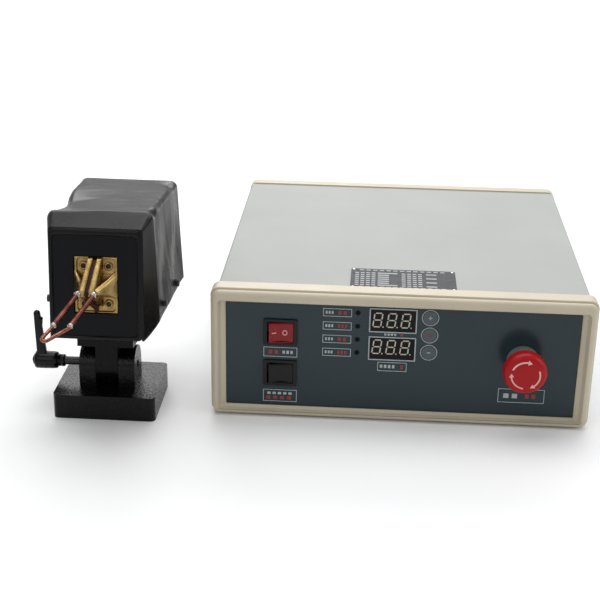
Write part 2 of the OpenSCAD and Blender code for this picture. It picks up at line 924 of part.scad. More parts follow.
// bushing with a hexagon outside and a nut inside the panel
module bushing(p, hex, head_l, cap_d, reach, bore) {
    translate([p[0], 0, p[1]])
        difference() {
            union() {
                rod_y(p[2], rear_panel_y - 12, rear_face + head_l);
                translate([0, rear_face, 0])
                    rotate([-90, 0, 0])
                        cylinder(d = hex, h = head_l, $fn = 6);
                rod_y(cap_d, rear_face + head_l - eps, unit_d + reach);
                translate([0, rear_panel_y - 4, 0])
                    rotate([-90, 0, 0])
                        cylinder(d = hex, h = 4, $fn = 6);
            }
            rod_y(bore, rear_panel_y - 13, unit_d + reach + 1);
        }
}

module mains_gland()
    color("#26282a")
        at_unit()
            bushing(gland_p, 26, 8, 21, rear_reach, 10);

module fuse_holder()
    color("#1e1e1f")
        at_unit() {
            translate([fuse_p[0], 0, fuse_p[1]]) {
                rod_y(fuse_p[2], rear_panel_y - 34, rear_face + eps);
                rod_y(fuse_p[2] + 5, rear_face, rear_face + 3);
                rod_y(fuse_p[2], rear_face + 2, rear_face + 11);
            }
        }

module output_socket()
    color("#9ea2a4")
        at_unit()
            translate([output_p[0], 0, output_p[1]])
                difference() {
                    union() {
                        rod_y(output_p[2], rear_panel_y - 18, rear_face + 12);
                        upright(34, -17, 17, rear_face, 2.5, 3);
                    }
                    difference() {
                        rod_y(output_p[2] - 4, rear_face + 2, rear_face + 13);
                        for (a = [0 : 90 : 270])
                            rotate([0, a, 0])
                                translate([5, 0, 0])
                                    rod_y(3, rear_face, rear_face + 10);
                    }
                }

module pedal_socket()
    color("#aeb2b4")
        at_unit()
            translate([pedal_p[0], 0, pedal_p[1]])
                difference() {
                    union() {
                        rod_y(pedal_p[2], rear_panel_y - 14, rear_face + 10);
                        rod_y(pedal_p[2] + 6, rear_face, rear_face + 3);
                    }
                    difference() {
                        rod_y(pedal_p[2] - 3, rear_face + 2, rear_face + 11);
                        for (a = [90 : 120 : 330])
                            rotate([0, a, 0])
                                translate([3, 0, 0])
                                    rod_y(2, rear_face, rear_face + 8);
                    }
                }

module earth_stud()
    color("#c8a648")
        at_unit()
            translate([earth_p[0], 0, earth_p[1]]) {
                rod_y(earth_p[2], rear_panel_y - 8, rear_face + 16);
                for (y = [rear_panel_y - 5, rear_face, rear_face + 6])
                    translate([0, y, 0])
                        rotate([-90, 0, 0])
                            cylinder(d = 11.5, h = 5, $fn = 6);
            }

module heatsink()
    color("#b4b8bb")
        at_unit()
            translate([fan_x, 0, sink_z]) {
                block(0, sink_y0, fin_h, [sink_w, sink_l, sink_plate]);
                for (i = [0 : fin_count - 1])
                    block(-sink_w / 2 + 1 + i * (sink_w - 2) / (fin_count - 1), sink_y0, 0,
                        [fin_t, sink_l, fin_h + eps]);
                // feet down to the tray
                for (x = [-1, 1] * (sink_w / 2 - 1), y = [sink_y0 + 5, sink_y1 - 15])
                    block(x, y, floor_z - sink_z, [fin_t, 10, sink_z - floor_z + 1]);
            }

module power_modules()
    color("#202224")
        at_unit()
            translate([fan_x, 0, sink_z + fin_h + sink_plate])
                for (x = [-module_x, module_x], y = [sink_y0 + 14, sink_y0 + sink_l - module_size[1] - 14])
                    block(x, y, 0, module_size);

module power_board()
    color("#256b3c")
        at_unit() {
            block(board2_x, board2_y, board2_z, [board2[0], board2[1], board_t]);
            for (x = [-1, 1] * (board2[0] / 2 - 5), y = [5, board2[1] - 5])
                translate([board2_x + x, board2_y + y, floor_z])
                    cylinder(d = 6, h = board2_z - floor_z + eps);
        }

module smoothing_capacitors()
    color("#20335c")
        at_unit()
            for (x = [-1, 1] * (cap_dia / 2 + 3), y = [board2[1] / 2 - cap_dia / 2 - 3,
                    board2[1] / 2 + cap_dia / 2 + 3])
                translate([board2_x + x, board2_y + y, board2_z + board_t])
                    cylinder(d = cap_dia, h = cap_h);

module mains_choke()
    color("#a9552c")
        at_unit()
            translate([-switch_x, tray_y0 + 110, floor_z + choke_r])
                rotate_extrude()
                    translate([choke_ring_r, 0])
                        circle(choke_r);

module aux_transformer()
    color("#6f5b46")
        at_unit()
            translate([-40, tray_y0 + 88, floor_z]) {
                block(0, 0, 0, trafo_core);
                block(0, -8, 8, trafo_coil);
            }

// ---- clamp stand ----

module stand_base()
    color("#161617")
        at_stand()
            difference() {
                union() {
                    linear_extrude(base_h)
                        round_rect(base_w, base_d, base_r);
                    for (side = [-1, 1])
                        translate([side * (ear_x + ear_t / 2), pivot_y, 0]) {
                            block(0, -ear_d / 2, base_h - 1, [ear_t, ear_d, pivot_rise + 1]);
                            translate([0, 0, pivot_z])
                                rod_x(ear_d, -ear_t / 2, ear_t / 2);
                        }
                }
                // round floor of the fork, clear of the tongue
                translate([0, pivot_y, pivot_z])
                    rod_x(ear_d + 2 * floor_gap, -ear_x, ear_x);
                translate([0, pivot_y, pivot_z])
                    rod_x(stud_dia + 2 * run, -fork_w, fork_w);
            }

module clamp_stud()
    color("#8d9093")
        at_stand()
            translate([0, pivot_y, pivot_z])
                rod_x(stud_dia, stud_x0, stud_x1);

module clamp_lever()
    color("#141416")
        at_stand()
            translate([0, pivot_y, pivot_z])
                difference() {
                    union() {
                        rod_x(boss_dia * 0.68, boss_x1 - eps, lever_x1);
                        rod_x(boss_dia, boss_x0, boss_x1);
                        // tapered arm
                        translate([boss_x0, 0, 0])
                            rotate([90, 0, 0])
                                translate([0, 0, -arm_t / 2])
                                    linear_extrude(arm_t)
                                        polygon([
                                            [arm_root - arm_root_w / 2, 0],
                                            [arm_root + arm_root_w / 2, 0],
                                            [arm_tip + arm_tip_w / 2, lever_l - 2],
                                            [arm_tip + arm_tip_w / 4, lever_l],
                                            [arm_tip - arm_tip_w / 4, lever_l],
                                            [arm_tip - arm_tip_w / 2, lever_l - 2]
                                        ]);
                    }
                    rod_x(stud_dia, stud_x0 - eps, 0);
                }

module lever_cap()
    color("#2a2a2c")
        at_stand()
            translate([0, pivot_y, pivot_z])
                rod_x(boss_dia * 0.6, cap_x0, boss_x0);

// ---- power head ----

module bracket_screw_places() {
    for (x = [-1, 1] * (fork_w / 2 - 8), y = [-1, 1] * (bracket_d / 2 - 8))
        translate([x, y, 0])
            children();
}

module head_bracket()
    color("#1b1b1d")
        at_pivot()
            difference() {
                union() {
                    block(0, -bracket_d / 2, bracket_z, [fork_w, bracket_d, bracket_top - bracket_z]);
                    block(0, -ear_d / 2, 0, [tongue_t, ear_d, bracket_z + 1]);
                    rod_x(ear_d, -tongue_t / 2, tongue_t / 2);
                }
                rod_x(stud_dia + 2 * run, -tongue_t, tongue_t);
                bracket_screw_places()
                    translate([0, 0, bracket_top - 14])
                        cylinder(d = 5, h = 15);
            }

module bracket_screws()
    color("#8b8e91")
        at_pivot()
            bracket_screw_places() {
                translate([0, 0, bracket_top - 13])
                    cylinder(d = 4.9, h = 13 + base_plate_t + 2 * fit);
                translate([0, 0, bracket_top + base_plate_t + fit])
                    cylinder(d = 8.5, h = 5);
            }

module side_screws_at() {
    for (side = [-1, 1], y = [screw1_y, screw2_y])
        translate([side * plate_half, y, base_plate_z + screw_up])
            rotate([0, side * 90, 0])
                children();
}

module head_base_plate()
    color("#a9adb0")
        at_head()
            difference() {
                union() {
                    block(0, base_plate_y0, base_plate_z, [2 * plate_half, base_plate_l, base_plate_t]);
                    for (side = [-1, 1])
                        block(side * (plate_half - 1.5), base_plate_y0, base_plate_z,
                            [3, base_plate_l, plate_edge]);
                    // front tongue and the flange that carries the terminals
                    block(0, plate_nose_y, base_plate_z,
                        [plate_nose_w, base_plate_y0 - plate_nose_y + 1, base_plate_t]);
                    block(0, plate_nose_y, base_plate_z, [plate_nose_w, 3, plate_edge]);
                    // rails under the ferrite core
                    for (side = [-1, 1])
                        block(side * core_w / 2, core_y, base_plate_z, [5, core_l, core_z - base_plate_z]);
                }
                translate([-head_shift, head_front, -head_rise])
                    bracket_screw_places()
                        translate([0, 0, bracket_top - 1])
                            cylinder(d = 5.5, h = base_plate_t + 3);
                side_screws_at()
                    translate([0, 0, -4])
                        cylinder(d = 3.3, h = 6);
            }

// form of the cover, drawn in by a wall, from its front outline at y = front
module cover_form(wall, front, front_w, front_z0, front_z1) {
    r = cover_r - wall;
    hull() {
        upright(front_w, front_z0, front_z1, front, 1, 5);
        for (side = [-1, 1], y = [collar_d + cover_r, cover_l - cover_r]) {
            translate([side * (cover_top_w / 2 - cover_r), y, cover_h - cover_r])
                sphere(r, $fn = 24);
            translate([side * (cover_low_w / 2 - cover_r), y, skirt_front - 4])
                sphere(r, $fn = 24);
        }
    }
}

module cover_keep() {
    // side view of everything above the cover's lower edge
    rotate([90, 0, 90])
        translate([0, 0, -cover_low_w])
            linear_extrude(2 * cover_low_w)
                polygon([
                    [-5, -5],
                    [2, -5],
                    [collar_d - 5, skirt_front],
                    [cover_l + 5, skirt_back],
                    [cover_l + 5, cover_h + 5],
                    [-5, cover_h + 5]
                ]);
}

module head_cover()
    color("#1d1e20")
        at_head()
            difference() {
                intersection() {
                    difference() {
                        cover_form(0, -1.5, face_w + 2 * lip_t, -lip_t, face_h + lip_t);
                        cover_form(cover_wall, face_t + 2, face_w - 8, -lip_t, face_h - 4);
                    }
                    cover_keep();
                }
                // seat and opening of the front panel
                upright(face_w + 2 * fit, -fit, face_h + fit, -5, 5 + face_t + fit, 4);
                upright(face_w - 6, -6, face_h - 3, -5, collar_d, 2);
                // holes for the cover screws, the gland and the barbs
                side_screws_at()
                    cylinder(d = 3.8, h = 12);
                translate([0, 0, rear_plate_z])
                    rod_y(gland_d + 2 * fit, cover_l - fitting_in, cover_l + 5);
                for (side = [-1, 1])
                    translate([side * tube_side, 0, tube_low])
                        rod_y(barb_d + 2 * fit, cover_l - fitting_in, cover_l + 5);
            }

module head_cover_screws()
    color("#0f0f10")
        at_head()
            side_screws_at() {
                translate([0, 0, -3])
                    cylinder(d = 3.2, h = 8);
                translate([0, 0, cover_wall + 1.1])
                    cylinder(d = 7, h = 3.2);
            }

module face_plate()
    color("#191b20")
        at_head()
            difference() {
                upright(face_w, 0, face_h, 0, face_t, 4);
                upright(window_w, window_z, window_z + window_h, -1, face_t + 2, 0.5);
            }

module terminal_screw_places(side) {
    for (z = tab_z)
        translate([side * term_x, 0, z])
            children();
}

// one brass terminal; side is -1 for the left and 1 for the right
module terminal(side) {
    difference() {
        union() {
            translate([side * term_x, 0, 0])
                upright(term_w, term_z0, term_z0 + term_h, term_y, term_t, 2);
            // rounded lugs round the screws
            terminal_screw_places(side)
                rod_y(2 * tab_r, term_y - 2.5, term_y + 1);
            // rib along the slot, rising to the nose
            rotate([0, 0, -nose_lean])
                translate([side > 0 ? term_gap / 2 : -term_gap / 2 - 4.6, 0, 0])
                    rotate([90, 0, 90])
                        linear_extrude(4.6)
                            polygon([
                                [term_y + 2, term_z0 + 8],
                                [nose_y + 4, nose_z - 5],
                                [nose_y, nose_z - 3],
                                [nose_y, nose_z + 2],
                                [term_y - 3, term_z0 + term_h - 1],
                                [term_y + 2, term_z0 + term_h - 1]
                            ]);
            // flank that carries the tube socket
            hull() {
                translate([side * term_x, 0, 0])
                    upright(term_w, term_z0 + 17, nose_z + 9, term_y + 0.5, 1, 2);
                translate([nose_x + side * (term_gap / 2 + 4.4), 0, 0])
                    upright(7.6, nose_z - 4.6, nose_z + 3.8, nose_y, 4, 1);
            }
        }
        // slot between the two terminals
        rotate([0, 0, -nose_lean])
            translate([side > 0 ? -20 + term_gap / 2 : -term_gap / 2, nose_y - 5, 0])
                cube([20, 5 - nose_y, face_h]);
        terminal_screw_places(side)
            rod_y(term_screw + 2 * fit, term_y - 5, term_y + term_t + 1);
        terminal_screw_places(side)
            rod_y(8, term_y - nose_l, term_y - 1.5);
        translate(side > 0 ? lead_start_r : lead_start_l)
            tube_socket();
    }
}

// blind hole along the lead's direction
module tube_socket() {
    strut([0, 0, 0], lead_run / 5, tube_dia);
}

module terminal_left()
    color("#c79a3f")
        at_head()
            terminal(-1);

module terminal_right()
    color("#c79a3f")
        at_head()
            terminal(1);

module slot_insulator()
    color("#4a2013")
        at_head()
            rotate([0, 0, -nose_lean])
                rotate([90, 0, 90])
                    translate([0, 0, -term_gap / 2 + fit])
                        linear_extrude(term_gap - 2 * fit)
                            polygon([
                                [-0.5, term_z0 + 4],
                                [nose_y + 1, nose_z - 8],
                                [nose_y + 1, nose_z + 1],
                                [-0.5, term_z0 + term_h - 2]
                            ]);

module terminal_backing()
    color("#7b3b1f")
        at_head()
            difference() {
                upright(window_w + 22, base_plate_z + 1, term_z0 + term_h + 8, backing_y, backing_t, 3);
                // seat of the terminals
                upright(window_w - 2 * fit, term_z0 - fit, term_z0 + term_h + fit,
                    backing_y - 1, term_back + fit - backing_y + 1, 2);
                for (side = [-1, 1]) {
                    terminal_screw_places(side)
                        rod_y(term_screw, backing_y - 1, backing_y + backing_t + 2);
                    translate([side * term_x, 0, tube_low])
                        rod_y(tube_od + 2 * fit, backing_y - 1, backing_y + backing_t + 2);
                }
            }

module terminal_screws()
    color("#b8904a")
        at_head()
            for (side = [-1, 1])
                terminal_screw_places(side)
                    difference() {
                        union() {
                            rod_y(term_screw - 0.1, term_y - 1.6, backing_y + backing_t - 1);
                            rod_y(7.2, term_y - 5.2, term_y - 1.5);
                        }
                        translate([0, term_y - 5.3, 0])
                            rotate([-90, 0, 0])
                                cylinder(d = 3.5, h = 2.2, $fn = 6);
                    }

// straight flat-ended rod between two points
module bar(a, b, d) {
    v = b - a;
    translate(a)
        rotate([0, acos(v[2] / norm(v)), atan2(v[1], v[0])])
            cylinder(d = d, h = norm(v));
}

module lead_tube(a, b) {
    translate(a)
        sphere(d = tube_dia - 2 * run);
    bar(a, b, tube_dia - 2 * run);
    // solder collars at both ends
    bar(a + 5.8 * lead_dir, a + 8 * lead_dir, tube_dia + 2);
    bar(b - 2 * lead_dir, b + lead_dir, tube_dia + 0.8);
}

module coil_leads()
    color("#b4643c")
        at_head() {
            lead_tube(lead_start_l, lead_end_l);
            lead_tube(lead_start_r, lead_end_r);
        }

// hairpin that closes round the work
module work_loop()
    color("#bd7448")
        at_head() {
            loop_leg(lead_end_l, loop_mid - loop_side);
            loop_leg(lead_end_r, loop_mid + loop_side);
            translate(loop_mid)
                rotate([loop_slope, 0, 0])
                    rotate([0, 0, 180 - loop_yaw])
                        rotate_extrude(angle = 180)
                            translate([loop_r, 0])
                                circle(d = loop_dia);
        }

module loop_leg(a, b) {
    strut(a + lead_dir * (1.1 + loop_dia / 2), b, loop_dia);
}

module ferrite_core()
    color("#2e2f31")
        at_head()
            translate([0, core_y, core_z])
                difference() {
                    block(0, 0, 0, [core_w, core_l, core_low + core_gap + core_top]);
                    for (side = [-1, 1])
                        block(side * core_window, -1, core_low, [core_window_w, core_l + 2, core_gap]);
                }

module primary_winding()
    color("#8c3a20")
        at_head()
            translate([0, core_y, core_z + core_low + 2])
                difference() {
                    block(0, -4, 0, [winding_w, core_l + 8, core_gap - 2]);
                    block(0, -fit, -1, [core_leg + 2 * fit, core_l + 2 * fit, core_gap]);
                }

module secondary_tubes()
    color("#b4643c")
        at_head()
            for (side = [-1, 1]) {
                translate([side * term_x, 0, tube_low])
                    rod_y(tube_od, term_back + fit / 2, spread_y + 1);
                // copper plate that leads the current out to the long tube
                block(side * (term_x + tube_side) / 2, spread_y, tube_low - tube_od / 2 - 1,
                    [tube_side - term_x + tube_od + 2, 4, tube_od + 2]);
                translate([side * tube_side, 0, tube_low])
                    rod_y(tube_od, spread_y + 3, cover_l - fitting_in);
            }

module tank_capacitors()
    color("#d8c48a")
        at_head()
            for (i = [0 : tank_count - 1])
                block(0, tank_y0 + i * tank_pitch, base_plate_z + base_plate_t, [tank_w, tank_pitch - 3, tank_h]);

module head_gland()
    color("#26282a")
        at_head()
            translate([0, 0, rear_plate_z])
                difference() {
                    union() {
                        rod_y(gland_d, cover_l - 14, cover_l + 4);
                        rod_y(gland_flange, cover_l + fit, cover_l + 6);
                        rod_y(gland_cap, cover_l + 5, cover_l + gland_l);
                        rod_y(gland_flange, cover_l - cover_wall - 5, cover_l - cover_wall - fit);
                    }
                    rod_y(gland_bore, cover_l - 15, cover_l + gland_l + 1);
                }

module hose_barbs()
    color("#c9a24b")
        at_head()
            for (side = [-1, 1])
                translate([side * tube_side, 0, tube_low])
                    difference() {
                        union() {
                            rod_y(barb_d, cover_l - fitting_in - eps, cover_l + 3);
                            translate([0, cover_l + fit, 0])
                                rotate([-90, 0, 0])
                                    cylinder(d = barb_hex, h = 5, $fn = 6);
                            rod_y(6.5, cover_l + 3, cover_l + barb_l);
                            for (i = [0 : 2])
                                translate([0, cover_l + 8 + i * 4.5, 0])
                                    rotate([-90, 0, 0])
                                        cylinder(d1 = 8.6, d2 = 6.5, h = 4);
                        }
                        rod_y(barb_bore, cover_l - 4, cover_l + barb_l + 1);
                    }

front_frame();
rear_frame();
top_cover();
chassis_tray();
front_panel();
rear_panel();
rating_plate();
rubber_feet();
case_screws();
power_switch_body();
power_rocker();
mode_switch_body();
mode_rocker();
displays();
control_board();
indicator_lights();
plus_key();
mode_key();
minus_key();
stop_collar();
stop_stem();
stop_mushroom();
stop_contacts();
fan_frame();
fan_rotor();
fan_guard();
heatsink();
power_modules();
power_board();
smoothing_capacitors();
mains_choke();
aux_transformer();
mains_gland();
fuse_holder();
output_socket();
pedal_socket();
earth_stud();
stand_base();
clamp_stud();
clamp_lever();
lever_cap();
head_bracket();
bracket_screws();
head_base_plate();
head_cover();
head_cover_screws();
face_plate();
terminal_left();
terminal_right();
slot_insulator();
terminal_backing();
terminal_screws();
coil_leads();
work_loop();
ferrite_core();
primary_winding();
secondary_tubes();
tank_capacitors();
head_gland();
hose_barbs();
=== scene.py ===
import json
import math

import bpy
from mathutils import Matrix, Vector, noise


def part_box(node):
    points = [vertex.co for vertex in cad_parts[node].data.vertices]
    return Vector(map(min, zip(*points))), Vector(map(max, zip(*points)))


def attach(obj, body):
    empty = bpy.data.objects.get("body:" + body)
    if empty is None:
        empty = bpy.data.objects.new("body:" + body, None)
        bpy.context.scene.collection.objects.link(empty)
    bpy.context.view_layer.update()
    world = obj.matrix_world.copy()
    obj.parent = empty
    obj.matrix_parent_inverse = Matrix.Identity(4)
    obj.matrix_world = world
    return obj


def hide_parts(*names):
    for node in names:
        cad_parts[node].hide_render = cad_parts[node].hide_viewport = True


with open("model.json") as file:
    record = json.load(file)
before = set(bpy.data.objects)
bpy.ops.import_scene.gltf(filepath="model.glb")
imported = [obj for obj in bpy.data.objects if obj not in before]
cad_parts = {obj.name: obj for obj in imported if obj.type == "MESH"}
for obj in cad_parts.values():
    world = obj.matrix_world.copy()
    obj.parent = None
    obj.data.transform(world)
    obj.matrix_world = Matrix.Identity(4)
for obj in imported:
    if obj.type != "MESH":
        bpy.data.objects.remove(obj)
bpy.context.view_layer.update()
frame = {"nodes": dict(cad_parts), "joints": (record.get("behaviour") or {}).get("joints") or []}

MM = 0.001
NODES = frame["nodes"]


# ---------------------------------------------------------------- places

def joint_place(name):
    return Vector(next(j for j in frame["joints"] if j["name"] == name)["pos_m"])


low, high = (Vector(c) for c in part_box("front_frame"))
UNIT = Vector(((low.x + high.x) / 2, low.y, 0))
UNIT_D = (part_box("rear_frame")[1][1] - UNIT.y) / MM
PANEL_Y = (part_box("front_panel")[0][1] - UNIT.y) / MM
PANEL_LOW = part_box("front_panel")[0][2] / MM

PIVOT = joint_place("head_tilt")
HEAD_TILT = 7.0          # degrees, nose up
HEAD_SHIFT = 5.0         # head to the right of the tongue
HEAD_FRONT = 79.5        # front panel ahead of the tilt axis
HEAD_RISE = 49.4         # its lower edge above the tilt axis
HEAD = (Matrix.Translation(PIVOT) @ Matrix.Rotation(math.radians(-HEAD_TILT), 4, "X")
        @ Matrix.Translation(Vector((HEAD_SHIFT, -HEAD_FRONT, HEAD_RISE)) * MM))


def unit(x, y, z):
    """Point in the control unit's own millimetres, in the row frame."""
    return UNIT + Vector((x, y, z)) * MM


def panel(x, y, z):
    """Point on the unit's front, with z counted 5.5 mm below the panel's lower edge."""
    return unit(x, y, z + PANEL_LOW - 5.5)


def head(x, y, z):
    return HEAD @ (Vector((x, y, z)) * MM)


def stand(x, y, z):
    """Millimetres from the tilt axis, in the row frame."""
    return PIVOT + Vector((x, y, z)) * MM


# ---------------------------------------------------------------- camera and light

CAM_AT = (-28.56, -1091.9, 570.0)   # from the unit's front edge, on the bench
CAM_PITCH = 22.32
CAM_YAW = -3.43
CAM_ROLL = 0.94
LENS = 78.0


def add_camera():
    pitch, yaw, roll = (math.radians(a) for a in (CAM_PITCH, CAM_YAW, CAM_ROLL))
    ahead = Vector((math.sin(yaw) * math.cos(pitch), math.cos(yaw) * math.cos(pitch), -math.sin(pitch)))
    right = Vector((math.cos(yaw), -math.sin(yaw), 0))
    up = right.cross(ahead)
    side = right * math.cos(roll) + up * math.sin(roll)
    top = up * math.cos(roll) - right * math.sin(roll)
    cam = bpy.data.objects.new("camera", bpy.data.cameras.new("camera"))
    cam.data.lens = LENS
    cam.data.sensor_width = 36
    cam.matrix_world = Matrix.Translation(unit(*CAM_AT)) @ Matrix((side, top, -ahead)).transposed().to_4x4()
    bpy.context.collection.objects.link(cam)
    bpy.context.scene.camera = cam


def add_light(name, place, aim, size, power, tint=(1, 1, 1)):
    lamp = bpy.data.lights.new(name, "AREA")
    lamp.shape = "RECTANGLE"
    lamp.size, lamp.size_y = size
    lamp.energy = power
    lamp.color = tint
    obj = bpy.data.objects.new(name, lamp)
    obj.location = place
    obj.rotation_euler = (Vector(aim) - Vector(place)).to_track_quat("-Z", "Y").to_euler()
    bpy.context.collection.objects.link(obj)


def add_studio():
    bpy.context.scene.view_settings.view_transform = "Standard"
    world = bpy.data.worlds.new("studio")
    world.use_nodes = True
    world.node_tree.nodes["Background"].inputs["Color"].default_value = (0.97, 0.98, 1.0, 1)
    world.node_tree.nodes["Background"].inputs["Strength"].default_value = 0.50
    bpy.context.scene.world = world
    add_light("overhead", (-0.1, 0.25, 1.5), (0, 0.05, 0), (1.6, 1.2), 17)
    add_light("front_soft", (-0.7, -1.6, 1.1), (0, 0, 0.1), (1.2, 0.9), 4, (1, 0.98, 0.95))
    add_light("right_soft", (1.5, -0.3, 0.8), (0, 0, 0.1), (0.8, 0.9), 6, (0.96, 0.98, 1))
    add_light("back_sheen", (-0.5, 1.9, 1.25), (-0.2, 0, 0.15), (1.4, 0.7), 8)
    add_light("backdrop", (0.3, 3.4, 2.2), (0.2, 2.6, 0), (5.0, 2.2), 75)
    floor = grid_mesh("floor", [[Vector((x, y, 0)) for x in (-4, 4)] for y in (-4, 4)])
    dress(floor, paint("floor_pale", (0.86, 0.86, 0.86), 0.6, mottle=(0.01, 3), grain=(0.02, 80)))


# ---------------------------------------------------------------- materials

def socket_ramp(tree, source, low_value, high_value):
    node = tree.nodes.new("ShaderNodeMapRange")
    node.inputs["From Min"].default_value = 0.3
    node.inputs["From Max"].default_value = 0.7
    node.inputs["To Min"].default_value = low_value
    node.inputs["To Max"].default_value = high_value
    tree.links.new(source, node.inputs["Value"])
    return node.outputs["Result"]


def noise_at(tree, coords, scale, detail=4.0, stretch=None):
    if stretch:
        mapping = tree.nodes.new("ShaderNodeMapping")
        mapping.inputs["Scale"].default_value = stretch
        tree.links.new(coords, mapping.inputs["Vector"])
        coords = mapping.outputs["Vector"]
    node = tree.nodes.new("ShaderNodeTexNoise")
    node.inputs["Scale"].default_value = scale
    node.inputs["Detail"].default_value = detail
    tree.links.new(coords, node.inputs["Vector"])
    return node.outputs["Fac"]


def mix_colour(tree, factor, a, b):
    node = tree.nodes.new("ShaderNodeMix")
    node.data_type = "RGBA"
    tree.links.new(factor, node.inputs["Factor"])
    for socket, value in (("A", a), ("B", b)):
        target = next(s for s in node.inputs if s.name == socket and s.type == "RGBA")
        if hasattr(value, "links"):
            tree.links.new(value, target)
        else:
            target.default_value = (*value, 1)
    return next(s for s in node.outputs if s.type == "RGBA")


def paint(name, colour, rough, metal=0.0, mottle=(0.05, 30), grain=(0.04, 900), rough_swing=0.06,
          coat=0.0, second=None, lumps=None, stretch=None, wear=None, spec=0.5):
    """A finish with mottled colour, uneven gloss and a fine surface; sizes are in features per metre."""
    mat = bpy.data.materials.new(name + "_finish")
    mat.use_nodes = True
    tree = mat.node_tree
    shader = tree.nodes["Principled BSDF"]
    coords = tree.nodes.new("ShaderNodeTexCoord").outputs["Object"]
    spread = noise_at(tree, coords, mottle[1], stretch=stretch)
    factor = socket_ramp(tree, spread, 0.0, 1.0)
    dark = [c * (1 - mottle[0]) for c in colour]
    light = second or [min(1, c * (1 + mottle[0])) for c in colour]
    tone = mix_colour(tree, factor, dark, light)
    if wear:
        edge = tree.nodes.new("ShaderNodeNewGeometry").outputs["Pointiness"]
        ramp = tree.nodes.new("ShaderNodeMapRange")
        ramp.inputs["From Min"].default_value = wear[0]
        ramp.inputs["From Max"].default_value = wear[1]
        tree.links.new(edge, ramp.inputs["Value"])
        tone = mix_colour(tree, ramp.outputs["Result"], tone, wear[2])
    tree.links.new(tone, shader.inputs["Base Color"])
    gloss = noise_at(tree, coords, mottle[1] * 2.3, 3.0, stretch)
    tree.links.new(socket_ramp(tree, gloss, max(0.03, rough - rough_swing), rough + rough_swing),
                   shader.inputs["Roughness"])
    shader.inputs["Metallic"].default_value = metal
    shader.inputs["Specular IOR Level"].default_value = spec
    shader.inputs["Coat Weight"].default_value = coat
    shader.inputs["Coat Roughness"].default_value = 0.08
    normal = None
    for depth, scale in [grain] + ([lumps] if lumps else []):
        bump = tree.nodes.new("ShaderNodeBump")
        bump.inputs["Strength"].default_value = 1.0
        bump.inputs["Distance"].default_value = depth * MM
        tree.links.new(noise_at(tree, coords, scale, 5.0, stretch), bump.inputs["Height"])
        if normal:
            tree.links.new(normal, bump.inputs["Normal"])
        normal = bump.outputs["Normal"]
    tree.links.new(normal, shader.inputs["Normal"])
    return mat


BEIGE = paint("beige_moulding", (0.49, 0.435, 0.325), 0.42, mottle=(0.035, 12), grain=(0.03, 2200))
GREY_COVER = paint("grey_cover", (0.345, 0.352, 0.335), 0.6, mottle=(0.02, 8), grain=(0.035, 1500), spec=0.3)
PANEL_BLUE = paint("blue_panel", (0.017, 0.031, 0.037), 0.22, mottle=(0.06, 9), grain=(0.008, 700),
                   coat=0.0, rough_swing=0.03, spec=0.3)
INK = paint("label_ink", (0.36, 0.40, 0.40), 0.5, mottle=(0.10, 200))
RED_INK = paint("red_ink", (0.22, 0.022, 0.026), 0.5, mottle=(0.15, 200))
PLATE_DARK = paint("rating_plate", (0.040, 0.042, 0.046), 0.5, mottle=(0.1, 80), spec=0.2)
PLATE_LIGHT = paint("plate_etch", (0.33, 0.34, 0.34), 0.5, mottle=(0.1, 160), spec=0.3)
GLOSS_BLACK = paint("gloss_black", (0.004, 0.004, 0.0045), 0.2, mottle=(0.2, 60), grain=(0.006, 500), spec=0.25)
SATIN_BLACK = paint("satin_black", (0.005, 0.005, 0.0055), 0.40, mottle=(0.15, 60), grain=(0.03, 1800), spec=0.2)
RED_ROCKER = paint("red_rocker", (0.20, 0.004, 0.006), 0.25, mottle=(0.10, 60), grain=(0.006, 500), spec=0.3)
PINK_MARK = paint("pink_mark", (0.70, 0.36, 0.34), 0.4, mottle=(0.06, 300))
RED_STOP = paint("red_mushroom", (0.33, 0.005, 0.008), 0.34, mottle=(0.05, 40), grain=(0.008, 900), spec=0.2)
GREY_COLLAR = paint("grey_collar", (0.16, 0.17, 0.17), 0.45, mottle=(0.06, 60))
WINDOW = paint("display_window", (0.003, 0.003, 0.0035), 0.12, mottle=(0.2, 40), grain=(0.003, 300), spec=0.15)
SEGMENT = paint("segment_pale", (0.46, 0.43, 0.35), 0.4, mottle=(0.10, 400))
LED_DARK = paint("led_dark", (0.002, 0.0015, 0.002), 0.3, mottle=(0.2, 400), spec=0.08)
KEY_FILM = paint("key_film", (0.032, 0.050, 0.062), 0.22, mottle=(0.06, 60), grain=(0.01, 700), coat=0.2)
BOARD = paint("green_board", (0.02, 0.11, 0.045), 0.35, mottle=(0.18, 160), grain=(0.08, 500))
ZINC = paint("zinc_steel", (0.55, 0.57, 0.57), 0.35, metal=0.9, mottle=(0.12, 60), second=(0.68, 0.68, 0.64))
STEEL = paint("bright_steel", (0.58, 0.58, 0.58), 0.25, metal=1.0, mottle=(0.08, 90), stretch=(1, 9, 9))
DARK_STEEL = paint("dark_steel", (0.03, 0.03, 0.032), 0.35, metal=0.6, mottle=(0.2, 200))
NICKEL = paint("nickel", (0.60, 0.58, 0.54), 0.18, metal=1.0, mottle=(0.06, 120))
ALUMINIUM = paint("raw_aluminium", (0.62, 0.63, 0.64), 0.35, metal=1.0, mottle=(0.07, 70), stretch=(1, 12, 1))
IVORY = paint("ivory_plastic", (0.62, 0.58, 0.47), 0.4, mottle=(0.05, 60))
SLEEVE = paint("capacitor_blue", (0.015, 0.04, 0.16), 0.25, mottle=(0.12, 60), coat=0.2)
WINDING = paint("copper_winding", (0.36, 0.10, 0.035), 0.3, metal=0.7, mottle=(0.2, 300), grain=(0.3, 900),
                stretch=(1, 6, 1))
LAMINATE = paint("transformer_steel", (0.10, 0.085, 0.07), 0.5, metal=0.4, mottle=(0.2, 90), grain=(0.2, 900))
FILM_CAP = paint("film_capacitor", (0.42, 0.31, 0.10), 0.35, mottle=(0.08, 60), coat=0.2)
